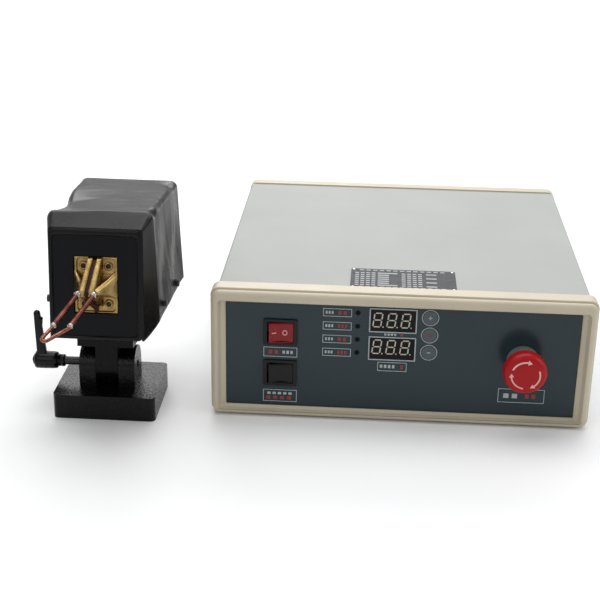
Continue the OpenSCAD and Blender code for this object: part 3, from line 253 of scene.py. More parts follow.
FERRITE = paint("ferrite", (0.03, 0.03, 0.032), 0.6, mottle=(0.2, 120), grain=(0.1, 900))
PHENOLIC = paint("brown_insulation", (0.028, 0.006, 0.004), 0.45, mottle=(0.35, 140), grain=(0.05, 900),
                 second=(0.055, 0.013, 0.006), spec=0.15)
BRASS = paint("brass", (0.30, 0.19, 0.065), 0.30, metal=1.0, mottle=(0.16, 110), grain=(0.02, 1400),
              second=(0.50, 0.35, 0.14), rough_swing=0.09)
COPPER = paint("copper", (0.075, 0.022, 0.016), 0.30, metal=0.95, mottle=(0.35, 120), grain=(0.03, 1100),
               second=(0.17, 0.058, 0.038), rough_swing=0.1)
HOT_COPPER = paint("hot_copper", (0.11, 0.030, 0.022), 0.28, metal=1.0, mottle=(0.3, 260), grain=(0.05, 900),
                   second=(0.34, 0.14, 0.085), rough_swing=0.1)
SCREW_BRASS = paint("screw_brass", (0.24, 0.15, 0.05), 0.30, metal=1.0, mottle=(0.25, 400), second=(0.42, 0.29, 0.12))
# near-black for the hexagon plugs in the socket screws: painted shade standing for the depth of the hex sockets
SOCKET_SHADE = paint("painted_socket_shade", (0.015, 0.012, 0.010), 0.6, mottle=(0.3, 500))
SOLDER = paint("solder", (0.34, 0.28, 0.27), 0.22, metal=1.0, mottle=(0.3, 500), grain=(0.15, 900),
               second=(0.66, 0.60, 0.58))
CAST = paint("cast_black", (0.0022, 0.0022, 0.0024), 0.24, mottle=(0.25, 200), grain=(0.35, 520),
             lumps=(0.30, 150), rough_swing=0.12, spec=0.2)
BRACKET = paint("bracket_black", (0.002, 0.002, 0.0022), 0.34, mottle=(0.2, 160), grain=(0.18, 600),
                rough_swing=0.1, spec=0.15)
LEVER_BLACK = paint("lever_black", (0.002, 0.002, 0.0022), 0.24, mottle=(0.15, 120), grain=(0.06, 1600), spec=0.22)
COVER_BLACK = paint("cover_black", (0.0024, 0.0024, 0.0027), 0.30, mottle=(0.12, 14), grain=(0.02, 1500),
                    lumps=(0.12, 16), rough_swing=0.04, spec=0.2)
FACE_BLACK = paint("face_black", (0.0035, 0.0038, 0.0048), 0.40, mottle=(0.12, 30), grain=(0.03, 1600), spec=0.14)
RUBBER = paint("black_rubber", (0.02, 0.02, 0.02), 0.7, mottle=(0.15, 120), grain=(0.08, 900))


# ---------------------------------------------------------------- mesh tools

def make_mesh(name, verts, faces, smooth=True):
    mesh = bpy.data.meshes.new(name)
    mesh.from_pydata([tuple(v) for v in verts], [], faces)
    mesh.validate()
    mesh.update()
    for poly in mesh.polygons:
        poly.use_smooth = smooth
    obj = bpy.data.objects.new(name, mesh)
    bpy.context.collection.objects.link(obj)
    return obj


def grid_faces(rows, cols, wrap_rows=False, wrap_cols=False, start=0):
    faces = []
    for i in range(rows if wrap_rows else rows - 1):
        for j in range(cols if wrap_cols else cols - 1):
            a, b = i % rows * cols, (i + 1) % rows * cols
            faces.append((start + a + j, start + a + (j + 1) % cols,
                          start + b + (j + 1) % cols, start + b + j))
    return faces


def grid_mesh(name, rows, wrap_rows=False, wrap_cols=False, smooth=True, caps=False):
    cols = len(rows[0])
    faces = grid_faces(len(rows), cols, wrap_rows, wrap_cols)
    if caps:
        faces.append(tuple(reversed(range(cols))))
        faces.append(tuple((len(rows) - 1) * cols + j for j in range(cols)))
    return make_mesh(name, [p for row in rows for p in row], faces, smooth)


def outward(obj):
    """Turns the faces of a closed piece outward."""
    import bmesh
    bm = bmesh.new()
    bm.from_mesh(obj.data)
    bmesh.ops.recalc_face_normals(bm, faces=bm.faces)
    bm.to_mesh(obj.data)
    bm.free()
    return obj


def dress(obj, mat):
    obj.data.materials.clear()
    obj.data.materials.append(mat)
    return obj


def soften(obj, width, angle=35, segments=2):
    """Rounds the edges of a piece without touching its own mesh."""
    weld = obj.modifiers.new("weld", "WELD")
    weld.merge_threshold = 0.00001
    bevel = obj.modifiers.new("edges", "BEVEL")
    bevel.width = width * MM
    bevel.segments = segments
    bevel.limit_method = "ANGLE"
    bevel.angle_limit = math.radians(angle)
    bevel.harden_normals = False
    bevel.use_clamp_overlap = True
    smooth = obj.modifiers.new("shade", "WEIGHTED_NORMAL")
    smooth.keep_sharp = False
    return obj


def piece(obj, mat, body, slot, *stands_for):
    dress(obj, mat)
    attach(obj, body)
    if stands_for:
        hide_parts(*stands_for)
    return obj


def joined(name, parts, smooth=False):
    """One piece from several lists of (verts, faces)."""
    verts, faces = [], []
    for part_verts, part_faces in parts:
        start = len(verts)
        verts += part_verts
        faces += [tuple(start + i for i in f) for f in part_faces]
    return outward(make_mesh(name, verts, faces, smooth))


BOX_FACES = [(0, 1, 3, 2), (4, 6, 7, 5), (0, 4, 5, 1), (2, 3, 7, 6), (0, 2, 6, 4), (1, 5, 7, 3)]


def bar(place, x0, x1, y0, y1, z0, z1):
    """Verts and faces of a small plain bar, through a placing function."""
    verts = [place(x, y, z) for x in (x0, x1) for y in (y0, y1) for z in (z0, z1)]
    return verts, BOX_FACES


def ring_bars(place, x0, x1, z0, z1, y0, y1, line):
    """A thin outline made of four bars."""
    return [
        bar(place, x0, x1, y0, y1, z0, z0 + line),
        bar(place, x0, x1, y0, y1, z1 - line, z1),
        bar(place, x0, x0 + line, y0, y1, z0 + line, z1 - line),
        bar(place, x1 - line, x1, y0, y1, z0 + line, z1 - line),
    ]


def washer(place, r0, r1, y0, y1, steps=48):
    """Verts and faces of a flat ring about y."""
    verts = []
    for r, y in ((r0, y0), (r1, y0), (r1, y1), (r0, y1)):
        verts += [place(r * math.cos(2 * math.pi * i / steps), y, r * math.sin(2 * math.pi * i / steps))
                  for i in range(steps)]
    return verts, grid_faces(4, steps, True, True)


def lathe(name, place, profile, steps=64, axis="y"):
    """Turns (radius, distance) points about an axis through the placing function."""
    rows = []
    for r, d in profile:
        row = []
        for i in range(steps):
            c, s = math.cos(2 * math.pi * i / steps) * r, math.sin(2 * math.pi * i / steps) * r
            row.append(place(d, c, s) if axis == "x" else place(c, d, s))
        rows.append(row)
    return outward(grid_mesh(name, rows, wrap_cols=True, caps=True))


def round_path(x0, x1, z0, z1, r, steps=8):
    """Points round a rectangle with round corners, anticlockwise from the lower left corner."""
    r = max(0.05, r)
    corners = ((x0 + r, z0 + r, 180), (x1 - r, z0 + r, 270), (x1 - r, z1 - r, 0), (x0 + r, z1 - r, 90))
    path = []
    for cx, cz, start in corners:
        for i in range(steps + 1):
            a = math.radians(start + 90 * i / steps)
            path.append((cx + r * math.cos(a), cz + r * math.sin(a)))
    return path


def sweep(points, radius, steps=16, wobble=0.0, seed=0.0):
    """Rows of a tube through points; radius is a number or a function of the share of the way."""
    rows = []
    side = None
    for i, p in enumerate(points):
        ahead = (points[min(i + 1, len(points) - 1)] - points[max(i - 1, 0)]).normalized()
        if side is None:
            side = ahead.orthogonal().normalized()
        side = (side - ahead * side.dot(ahead)).normalized()
        up = ahead.cross(side)
        share = i / (len(points) - 1)
        r = radius(share) if callable(radius) else radius
        row = []
        for k in range(steps):
            a = 2 * math.pi * k / steps
            out = side * math.cos(a) + up * math.sin(a)
            lump = 1 + wobble * noise.noise(Vector((seed, 0, 0)) + (p + out * r) * 900)
            row.append(p + out * r * lump)
        rows.append(row)
    return rows


def curve_points(stops, steps=10):
    """Smooth run of points through stops."""
    out = []
    padded = [stops[0] * 2 - stops[1]] + list(stops) + [stops[-1] * 2 - stops[-2]]
    for i in range(1, len(padded) - 2):
        p0, p1, p2, p3 = padded[i - 1:i + 3]
        for k in range(steps):
            t = k / steps
            out.append(0.5 * ((2 * p1) + (p2 - p0) * t + (2 * p0 - 5 * p1 + 4 * p2 - p3) * t * t
                              + (3 * p1 - p0 - 3 * p2 + p3) * t ** 3))
    out.append(stops[-1])
    return out


# ---------------------------------------------------------------- control unit: case

OPEN_X = 163.0           # the panel's visible half width
OPEN_Z0 = 9.5            # and its visible edges' heights
OPEN_Z1 = 114.0
FRAME_R = 8.0
REAR_BAND = 14.5         # how far the rear frame reaches over the cover


def frame_piece(name, node, outer, inner, flip):
    """Moulded frame from (inset, depth) steps outside and (sideways, up and down, depth) steps inside."""
    near, far = (Vector(c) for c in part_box(node))
    half = (far.x - near.x) / 2 / MM
    z0, z1 = near.z / MM, far.z / MM
    rows = []
    for inset, y in outer:
        rows.append((round_path(-half + inset, half - inset, z0 + inset, z1 - inset, FRAME_R - inset * 0.5), y))
    for side, up, y in inner:
        rows.append((round_path(-OPEN_X - side, OPEN_X + side, OPEN_Z0 - up, OPEN_Z1 + up, 1.0 + up * 0.8), y))
    placed = [[unit(x, UNIT_D - y if flip else y, z) for x, z in path] for path, y in rows]
    ring = outward(grid_mesh(name, placed, wrap_rows=True, wrap_cols=True))
    ring.modifiers.new("shade", "WEIGHTED_NORMAL")
    return piece(ring, BEIGE, "control_unit", "beige_moulding", node)


def frame_depth(node):
    near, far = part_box(node)
    return (far[1] - near[1]) / MM


def frame_pieces():
    depth = frame_depth("front_frame")
    outer = [(3.4, depth), (0.3, depth), (0.0, depth - 0.3), (0.0, 7.4), (0.15, 6.8), (0.6, 6.4), (1.3, 6.2),
             (2.0, 6.1), (2.3, 5.8), (2.3, 5.3), (2.0, 4.9), (1.6, 4.5), (1.5, 3.6), (1.8, 2.4), (2.6, 1.2),
             (3.7, 0.45), (5.0, 0.08), (6.0, 0.0)]
    seat = PANEL_Y - 0.05
    inner = [(7.4, 3.5, 0.0), (7.0, 3.3, 0.12), (6.7, 3.1, 0.6), (4.6, 2.2, 4.3), (4.1, 1.9, 4.8), (3.5, 1.6, 4.95),
             (0.5, 0.25, 6.7), (0.0, 0.0, 7.2), (0.0, 0.0, seat), (2.6, 1.6, seat), (4.0, 2.2, PANEL_Y + 4),
             (4.0, 2.2, depth)]
    frame_piece("front_bezel", "front_frame", outer, inner, False)
    depth = REAR_BAND
    outer = [(1.2, depth), (0.2, depth), (0.0, depth - 0.2), (0.0, 3.0), (0.3, 1.5), (1.0, 0.5), (2.4, 0.0)]
    inner = [(0.8, 0.8, 0.0), (0.2, 0.2, 0.25), (0.0, 0.0, 0.9), (0.0, 0.0, seat), (2.6, 1.6, seat),
             (4.0, 2.2, PANEL_Y + 4), (4.0, 2.2, depth)]
    frame_piece("rear_bezel", "rear_frame", outer, inner, True)


def case_pieces():
    frame_pieces()
    for node, mat, width in (("top_cover", GREY_COVER, 0.4), ("chassis_tray", ZINC, 0.3), ("rear_panel", GREY_COVER, 0.3),
                             ("rubber_feet", RUBBER, 1.2), ("case_screws", DARK_STEEL, 0.5)):
        soften(dress(NODES[node], mat), width)


# ---------------------------------------------------------------- control unit: front panel

FILM = 0.12              # thickness of printed marks
INK_Y = PANEL_Y - FILM


def label_field(x0, x1, z0, z1, pale, red, name):
    """An outlined field with short generic strokes where the real one carries words."""
    piece(joined(name + "_frame", ring_bars(panel, x0, x1, z0, z1, INK_Y, PANEL_Y, 0.55)),
          INK, "control_unit", "grey_panel")
    for ink, strokes, tag in ((INK, pale, "_marks"), (RED_INK, red, "_red")):
        parts = [bar(panel, a, b, INK_Y, PANEL_Y, c, d) for a, b, c, d in strokes]
        if parts:
            piece(joined(name + tag, parts), ink, "control_unit", "grey_panel")


def dashes(x0, x1, z0, z1, count):
    """Evenly spaced short strokes in a box."""
    pitch = (x1 - x0) / count
    return [(x0 + i * pitch, x0 + i * pitch + pitch * 0.62, z0, z1) for i in range(count)]


def front_labels():
    led_rows = 4
    for i in range(led_rows):
        top = 108.6 - 13.3 * i
        label_field(-73, -46.5, top - 8, top, dashes(-70.6, -62.4, top - 5.4, top - 2.6, 3),
                    dashes(-59, -49.4, top - 5.8, top - 2.2, 2 + i % 2), f"row_label_{i}")
    label_field(-127.8, -96.3, 57.6, 67.4, dashes(-110, -99, 61, 64, 3), dashes(-123, -112, 60.6, 64.6, 2),
                "power_label")
    label_field(-128, -96.2, 11.2, 23.6, dashes(-124, -99, 18.6, 21, 5), dashes(-125, -99, 13.4, 16.8, 4),
                "mode_label")
    label_field(-21.3, 5.8, 47.4, 56.6, dashes(-19, -4, 50.6, 53.8, 4), dashes(0, 4, 50, 54.2, 1), "timer_label")
    label_field(92, 135, 20.4, 34.6, dashes(97, 113, 25, 29.6, 2), dashes(117, 129, 25, 29.6, 2), "stop_label")
    piece(joined("display_caption", [bar(panel, a, b, INK_Y, PANEL_Y, c, d)
                                     for a, b, c, d in dashes(-16, -4, 83.7, 85.7, 4)]),
          INK, "control_unit", "grey_panel")
    piece(joined("display_caption_red", [bar(panel, a, b, INK_Y, PANEL_Y, c, d)
                                         for a, b, c, d in dashes(-1.5, 3, 83.5, 85.9, 1)]),
          RED_INK, "control_unit", "grey_panel")


DISPLAY_X = -8.5
DISPLAY_Z = (98.6, 70.5)
DISPLAY_W = 42.6
DISPLAY_H = 22.8
DIGIT_H = 13.6
DIGIT_W = 7.2
DIGIT_PITCH = 12.9
SLANT = 0.13


def segment_digit(cx, cz, y):
    """Seven slanted segments and a point."""
    half_w, half_h, t = DIGIT_W / 2, DIGIT_H / 2, 1.15
    spans = [(-half_w + 0.8, half_w - 0.8, z, True) for z in (-half_h, 0, half_h)]
    spans += [(x, None, z, False) for x in (-half_w, half_w) for z in (-half_h / 2, half_h / 2)]
    parts = []

    def place(x, depth, z):
        return panel(cx + x + z * SLANT, y + depth, cz + z)

    for a, b, z, flat in spans:
        if flat:
            parts.append(bar(place, a, b, -0.05, 0.02, z - t / 2, z + t / 2))
        else:
            parts.append(bar(place, a - t / 2, a + t / 2, -0.05, 0.02, z - half_h / 2 + 0.75, z + half_h / 2 - 0.75))
    parts.append(bar(place, half_w + 1.7, half_w + 2.9, -0.05, 0.02, -half_h - 0.6, -half_h + 0.6))
    return parts


def display_pieces():
    face = PANEL_Y - 0.45
    windows = []
    outlines = []
    digits = []
    for z, lift in zip(DISPLAY_Z, (0.4, 1.6)):
        x0, x1 = DISPLAY_X - DISPLAY_W / 2, DISPLAY_X + DISPLAY_W / 2
        z0, z1 = z - DISPLAY_H / 2, z + DISPLAY_H / 2
        windows.append(bar(panel, x0, x1, face, PANEL_Y + 10, z0, z1))
        outlines += ring_bars(panel, x0 - 0.5, x1 + 0.5, z0 - 0.5, z1 + 0.5, face - 0.35, PANEL_Y, 1.0)
        for i in (-1, 0, 1):
            digits += segment_digit(DISPLAY_X + i * DIGIT_PITCH - 1.2, z + lift, face)
    piece(soften(joined("display_windows", windows), 0.3), WINDOW, "control_unit", "display_black", "displays")
    piece(soften(joined("display_outlines", outlines), 0.15), INK, "control_unit", "grey_panel")
    piece(joined("display_digits", digits), SEGMENT, "control_unit", "display_black")


KEYS = (("plus_key", 102.8), ("mode_key", 85.4), ("minus_key", 68.0))
KEY_X = 25.5


def key_pieces():
    for node, z in KEYS:
        soften(dress(NODES[node], KEY_FILM), 0.3)
        face = (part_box(node)[0][1] - UNIT.y) / MM

        def place(x, y, dz, z=z):
            return panel(KEY_X + x, y, z + dz)

        marks = []
        if node != "mode_key":
            marks.append(bar(place, -1.7, 1.7, face - FILM, face, -0.35, 0.35))
        if node == "plus_key":
            marks.append(bar(place, -0.35, 0.35, face - FILM, face, -1.7, 1.7))
        if marks:
            piece(joined(node + "_sign", marks), INK, node, "grey_panel")
        else:
            piece(joined("mode_key_mark", [bar(place, -3.4, 3.4, face - FILM, face, -0.8, 0.8)]),
                  RED_INK, node, "grey_panel")
        piece(joined(node + "_print", [washer(place, 7.25, 7.85, INK_Y, PANEL_Y)]), INK, "control_unit", "grey_panel")


LED_X = -40.9
LED_Z = [65.2 + 13.3 * i for i in range(4)]


def led_pieces():
    soften(dress(NODES["indicator_lights"], LED_DARK), 0.5)
    rims = [washer(lambda x, y, z, c=c: panel(LED_X + x, y, c + z), 2.1, 2.5, INK_Y, PANEL_Y, 24) for c in LED_Z]
    piece(joined("led_rims", rims), GLOSS_BLACK, "control_unit", "black_gloss")


ROCKER_W = 24.0
ROCKER_H = 20.0


def rocker_piece(node, mat, marks):
    """Rocker with a shallow valley across its face, on its hinge line, tipped to one side."""
    pivot = joint_place(node + "_tip")
    tip = Matrix.Translation(pivot) @ Matrix.Rotation(math.radians(8), 4, "Z")

    def place(x, y, z):
        return tip @ (Vector((x, y, z)) * MM)

    def front(x):
        return -7.1 + 1.9 * (1 - (abs(x) / (ROCKER_W / 2)) ** 1.5)

    half_w, half_h, cols = ROCKER_W / 2 - 0.6, ROCKER_H / 2 - 0.15, 24
    rows = []
    for shrink, back in ((0.9, 0.35), (0.45, 0.1), (0.15, 0.0)):
        rows.append([(shrink, back)])
    rings = []
    for inset, drop in ((1.1, 0.0), (0.45, 0.12), (0.12, 0.42), (0.0, 0.9)):
        ring = [(x, front(x) + drop, z) for x, z in round_path(-half_w + inset, half_w - inset, -half_h + inset,
                                                               half_h - inset, 1.4 - inset * 0.6, 6)]
        rings.append([place(*p) for p in ring])
    rings.append([place(x * 0.82, 1.5, z) for x, z in round_path(-half_w, half_w, -half_h, half_h, 1.4, 6)])
    # face inside the first ring, as strips that follow the valley
    obj = grid_mesh(node + "_cap", rings, wrap_cols=True)
    strips = []
    for i in range(cols + 1):
        x = (-half_w + 1.1) + (2 * half_w - 2.2) * i / cols
        strips.append([place(x, front(x), z) for z in (-half_h + 1.1, half_h - 1.1)])
    face = grid_mesh(node + "_face", strips)
    for extra in (obj, face):
        extra.select_set(False)
    verts = [v.co.copy() for v in obj.data.vertices]
    faces = [tuple(p.vertices) for p in obj.data.polygons]
    base = len(verts)
    verts += [v.co.copy() for v in face.data.vertices]
    faces += [tuple(base + i for i in p.vertices) for p in face.data.polygons]
    for extra in (obj, face):
        bpy.data.objects.remove(extra)
    body = outward(make_mesh(node + "_moulding", verts, faces))
    piece(body, mat, node, "red_rocker" if marks else "black_gloss", node)
    if marks:
        dash = [bar(lambda x, y, z: place(x, front(x) + y, z), -8.6, -4.4, -0.1, 0.0, -0.45, 0.45)]
        piece(joined(node + "_dash", dash), PINK_MARK, node, "red_rocker")
        ring = washer(lambda x, y, z: place(x + 3.6, front(x + 3.6) + y, z * 1.15), 1.6, 2.3, -0.1, 0.0, 32)
        piece(joined(node + "_circle", [ring]), PINK_MARK, node, "red_rocker")


def switch_pieces():
    for node in ("power_switch_body", "mode_switch_body"):
        soften(dress(NODES[node], GLOSS_BLACK), 0.7, segments=3)
    rocker_piece("power_rocker", RED_ROCKER, True)
    rocker_piece("mode_rocker", GLOSS_BLACK, False)


def stop_pieces():
    centre = joint_place("stop_twist")
    stop_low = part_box("stop_mushroom")[0][1]

    def place(x, y, z):
        return Vector((centre.x + x * MM, stop_low + y * MM, centre.z + z * MM))

    def dome(r):
        """Depth of the mushroom's face at a radius."""
        return 1.9 * (r / 16.5) ** 2.4 if r < 16.5 else 1.9 + (r - 16.5) ** 1.6 * 0.35

    profile = [(0.01, dome(0))] + [(r, dome(r)) for r in (2, 4, 6, 8, 10, 12, 14, 15.5, 16.8, 18)]
    profile += [(18.9, 4.1), (19.6, 5.3), (19.95, 6.8), (20.0, 8.6), (19.9, 12.2), (19.3, 14.6), (18.3, 16.2),
                (17.2, 16.9), (16.7, 16.8), (16.5, 16.0), (16.4, 8.5), (8.2, 8.2), (8.0, 11.8), (5.2, 12.0),
                (5.15, 6.6), (0.01, 6.6)]
    piece(lathe("stop_cap", place, profile, 96), RED_STOP, "stop_mushroom", "red_mushroom", "stop_mushroom")
    # three turn arrows that follow the face
    parts = []
    for start in (157, 22, -97):
        sweep_deg, r = 74.0, 12.9
        steps = 16
        verts = []
        for i in range(steps + 1):
            share = i / steps
            a = math.radians(start - sweep_deg * share)
            half = 0.72
            for dr in (-half, half):
                for lift in (-0.28, 0.05):
                    rr = r + dr
                    verts.append(place(rr * math.cos(a), dome(rr) + lift, rr * math.sin(a)))
        faces = grid_faces(steps + 1, 4, wrap_cols=True)
        order = [0, 1, 3, 2]
        rows = [verts[i * 4 + k] for i in range(steps + 1) for k in order]
        faces += [(3, 2, 1, 0), tuple(steps * 4 + k for k in range(4))]
        parts.append((rows, faces))
        a0 = math.radians(start - sweep_deg)
        a1 = math.radians(start - sweep_deg - 17)
        tip = [(r + 2.3, a0), (r - 2.3, a0), (r, a1)]
        tri = [place(rr * math.cos(a), dome(rr) + lift, rr * math.sin(a)) for lift in (-0.28, 0.05) for rr, a in tip]
        parts.append((tri, [(0, 1, 2), (5, 4, 3), (0, 3, 4, 1), (1, 4, 5, 2), (2, 5, 3, 0)]))
    piece(joined("stop_arrows", parts), PINK_MARK, "stop_mushroom", "red_mushroom")
    soften(dress(NODES["stop_collar"], GREY_COLLAR), 0.8, segments=3)
    dress(NODES["stop_stem"], STEEL)
    soften(dress(NODES["stop_contacts"], IVORY), 0.5)


def rating_plate_pieces():
    top_low, top_high = (Vector(c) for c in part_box("rating_plate"))
    w = (top_high.x - top_low.x) / MM
    d = (top_high.y - top_low.y) / MM
    soften(dress(NODES["rating_plate"], PLATE_DARK), 0.15)

    def place(x, y, z):
        return Vector((top_low.x, top_low.y, top_high.z)) + Vector((x, y, z)) * MM

    marks = []

    def mark(x0, x1, y0, y1):
        marks.append(bar(place, x0, x1, y0, y1, -0.01, 0.04))

    rows = 7
    pitch = (d - 14) / rows
    for i in range(rows):
        y = 7 + i * pitch
        for x0, count in ((4, 4), (48, 4)):
            for k in range(count):
                mark(x0 + k * 5.2, x0 + k * 5.2 + 3.6, y, y + pitch * 0.45)
        if i % 2 == 0 or i == rows - 1:
            mark(25.5, 36 if 0 < i < rows - 1 else 44, y, y + pitch * 0.5)
            mark(71, 81, y, y + pitch * 0.5)
        else:
            mark(25.5, 36, y, y + pitch * 0.5)
    for y in (2.2, d - 4.8):
        for k in range(13):
            mark(8 + k * 6.4, 12.2 + k * 6.4, y, y + 2.2)
    piece(joined("plate_marks", marks), PLATE_LIGHT, "control_unit", "rating_plate")
    for i, (x, y) in enumerate(((2.6, 2.6), (w - 2.6, 2.6), (2.6, d - 2.6), (w - 2.6, d - 2.6))):
        rivet = lathe(f"plate_rivet_{i}", lambda a, h, b, x=x, y=y: place(x + a, y + b, h),
                      [(1.5, -0.3), (1.5, 0.1), (1.2, 0.45), (0.6, 0.65), (0.01, 0.7)], 20)
        piece(rivet, NICKEL, "control_unit", "nickel")


def inside_and_rear():
    finishes = {
        "control_board": (BOARD, 0.1), "fan_frame": (SATIN_BLACK, 0.6), "fan_rotor": (SATIN_BLACK, 0.3),
        "fan_guard": (STEEL, 0.2), "heatsink": (ALUMINIUM, 0.2), "power_modules": (SATIN_BLACK, 0.5),
        "power_board": (BOARD, 0.1), "smoothing_capacitors": (SLEEVE, 1.0), "mains_choke": (WINDING, 0.3),
        "aux_transformer": (LAMINATE, 0.6), "mains_gland": (SATIN_BLACK, 0.6), "fuse_holder": (SATIN_BLACK, 0.5),
        "output_socket": (NICKEL, 0.4), "pedal_socket": (NICKEL, 0.4), "earth_stud": (BRASS, 0.3),
    }
    for node, (mat, width) in finishes.items():
        soften(dress(NODES[node], mat), width)
    soften(dress(NODES["front_panel"], PANEL_BLUE), 0.2)


# ---------------------------------------------------------------- clamp stand

def stand_pieces():
    soften(dress(NODES["stand_base"], CAST), 1.6, angle=40, segments=4)
    soften(dress(NODES["head_bracket"], BRACKET), 1.0, angle=40, segments=3)
    soften(dress(NODES["clamp_stud"], DARK_STEEL), 0.5)
    dress(NODES["bracket_screws"], STEEL)


BOSS_R = 8.5
HUB_R = 5.8


def lever_pieces():
    low, high = (Vector(c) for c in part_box("clamp_lever"))
    cap_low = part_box("lever_cap")[0]
    x0 = (low.x - PIVOT.x) / MM
    x1 = (high.x - PIVOT.x) / MM
    tip = (high.z - PIVOT.z) / MM
    hub_x = x1 - 6.7
    boss = [(0.01, x0), (BOSS_R - 1.6, x0), (BOSS_R - 0.6, x0 + 0.5), (BOSS_R, x0 + 1.6), (BOSS_R, x0 + 6),
            (BOSS_R - 0.25, hub_x - 4), (BOSS_R - 0.6, hub_x - 1.2), (BOSS_R - 1.4, hub_x - 0.3), (HUB_R + 0.2, hub_x),
            (HUB_R, hub_x + 0.4), (HUB_R, hub_x + 2.6), (HUB_R - 0.5, hub_x + 3.0), (HUB_R, hub_x + 3.4),
            (HUB_R, x1 - 0.7), (HUB_R - 0.7, x1), (0.01, x1)]
    piece(lathe("lever_boss", stand, boss, 40, "x"), LEVER_BLACK, "clamp", "lever_black", "clamp_lever")
    # flat arm that tapers and leans outward, with a round tip and a catch near it
    rows = []
    count = 40
    for i in range(count + 1):
        t = i / count
        z = 4 + (tip - 4) * t
        centre = x0 + 6.6 - 3.0 * t
        close = math.sqrt(max(0.03, 1 - ((t - 0.93) / 0.0705) ** 2)) if t > 0.93 else 1
        half = (4.8 - 1.9 * t) * close
        thick = (3.4 - 0.7 * t) * close
        catch = 1.9 * (t - 0.64) / 0.20 if 0.64 < t < 0.845 else 0
        row = []
        for k in range(24):
            a = 2 * math.pi * k / 24
            c, s = math.cos(a), math.sin(a)
            px = math.copysign(abs(c) ** 0.5, c) * half
            py = math.copysign(abs(s) ** 0.5, s) * thick
            row.append(stand(centre + px + (catch if c > 0.2 else 0), py, z))
        rows.append(row)
    piece(outward(grid_mesh("lever_arm", rows, wrap_cols=True, caps=True)), LEVER_BLACK, "clamp", "lever_black")
    cap_x = (cap_low[0] - PIVOT.x) / MM
    cap = [(0.01, cap_x), (2.2, cap_x), (2.3, cap_x + 0.9), (4.2, cap_x + 0.9), (5.0, cap_x + 1.5), (5.1, x0), (0.01, x0)]
    piece(lathe("lever_end_screw", stand, cap, 32, "x"), DARK_STEEL, "clamp", "dark_steel", "lever_cap")


# ---------------------------------------------------------------- power head

FACE_W = 77.6
FACE_H = 95.0
LIP = 2.5
COVER_L = 166.0
COLLAR = 24.0            # where the collar meets the cover's full section
EDGE_R = 8.0
LEFT_TOP = 48.3          # half widths of the full section, which is a little crooked
LEFT_LOW = 47.5
RIGHT_TOP = 47.0
RIGHT_LOW = 52.5
HEIGHT_FRONT = 109.0
HEIGHT_BACK = 113.6


def ease(t):
    t = min(1.0, max(0.0, t))
    return t * t * (3 - 2 * t)


def bell(y, s, y0, s0, dy, ds):
    """Soft hollow at y0 along the cover and s0 round it, from -1 at the left hem to 1 at the right hem."""
    return math.exp(-((y - y0) / dy) ** 2 - ((s - s0) / ds) ** 2)


def skirt(y):
    """Height of the cover's lower edge."""
    if y < 0:
        return -LIP
    if y < COLLAR:
        return -LIP + 12 * (y / COLLAR) ** 1.25
    return 9.5 + 7 * (y - COLLAR) / (COVER_L - COLLAR)


def section(y, cols):
    """Round-cornered outline of the cover at y, from the left hem over the top to the right hem."""
    grow = min(1.0, (y + 1.5) / (COLLAR + 1.5))
    along = min(1.0, max(0.0, (y - COLLAR) / (COVER_L - COLLAR)))
    back = max(0.0, y - (COVER_L - EDGE_R))
    tuck = EDGE_R - math.sqrt(max(0.0, EDGE_R ** 2 - back ** 2))
    face_half = FACE_W / 2 + LIP
    top = (FACE_H + LIP) * (1 - grow) + (HEIGHT_FRONT + (HEIGHT_BACK - HEIGHT_FRONT) * along) * grow - tuck
    hem = skirt(y)
    r = 3.5 + (EDGE_R - 1.0 - 3.5) * grow
    side_n, corner_n = int(cols * 0.26), 12

    def flank(top_half, low_half):
        """(distance from the middle, height) up one side and round its corner."""
        t = face_half + (top_half - face_half) * grow - tuck
        b = face_half + (low_half - face_half) * grow - tuck

        def half_at(z):
            return b + (t - b) * min(1.0, max(0.0, (z - hem) / (top - hem)))

        run = [(half_at(hem + (top - r - hem) * i / side_n), hem + (top - r - hem) * i / side_n)
               for i in range(side_n)]
        reach = half_at(top - r) - r
        for i in range(corner_n):
            a = math.radians(90 * i / corner_n)
            run.append((reach + r * math.cos(a), top - r + r * math.sin(a)))
        return run, reach

    left, left_reach = flank(LEFT_TOP, LEFT_LOW)
    right, right_reach = flank(RIGHT_TOP, RIGHT_LOW + 1.2 * along)
    top_n = cols - 2 * (side_n + corner_n)
    points = [(-x, z) for x, z in left]
    points += [(-left_reach + (left_reach + right_reach) * i / top_n, top) for i in range(top_n + 1)]
    points += [(x, z) for x, z in reversed(right)]
    return points


def cover_point(x, y, z, s):
    """Hand-formed unevenness; every dent goes inward."""
    inward = Vector((-x, 0, 55 - z)).normalized()
    body = ease((y - COLLAR + 6) / 12) * ease((COVER_L - 2 - y) / 8)
    dent = 6.6 * bell(y, s, 64, -0.38, 36, 0.24)       # waist behind the collar, on the left
    dent += 2.6 * bell(y, s, 70, -0.75, 40, 0.30)
    dent += 1.9 * bell(y, s, 35, 0.40, 6, 0.07)        # pinch at the collar's right corner
    dent -= 0.5 * bell(y, s, 46, 0.36, 6, 0.06)
    dent += 2.8 * bell(y, s, 141, 0.33, 12, 0.08)      # dent near the rear right corner
    dent += 1.1 * bell(y, s, 84, 0.66, 24, 0.12)       # hollows in the right side
    dent += 0.9 * bell(y, s, 128, 0.80, 16, 0.10)
    dent += 1.0 * bell(y, s, 52, 0.86, 12, 0.12)
    dent += 0.9 * bell(y, s, 96, 0.0, 40, 0.2)
    dent += 0.8 * max(0.0, noise.noise(Vector((y * 0.03, s * 2.4, 3.7))) + 0.5)
    dent += 0.25 * max(0.0, noise.noise(Vector((y * 0.11, s * 7.0, 9.1))) + 0.4)
    return head(*(Vector((x, y, z)) + inward * dent * body))


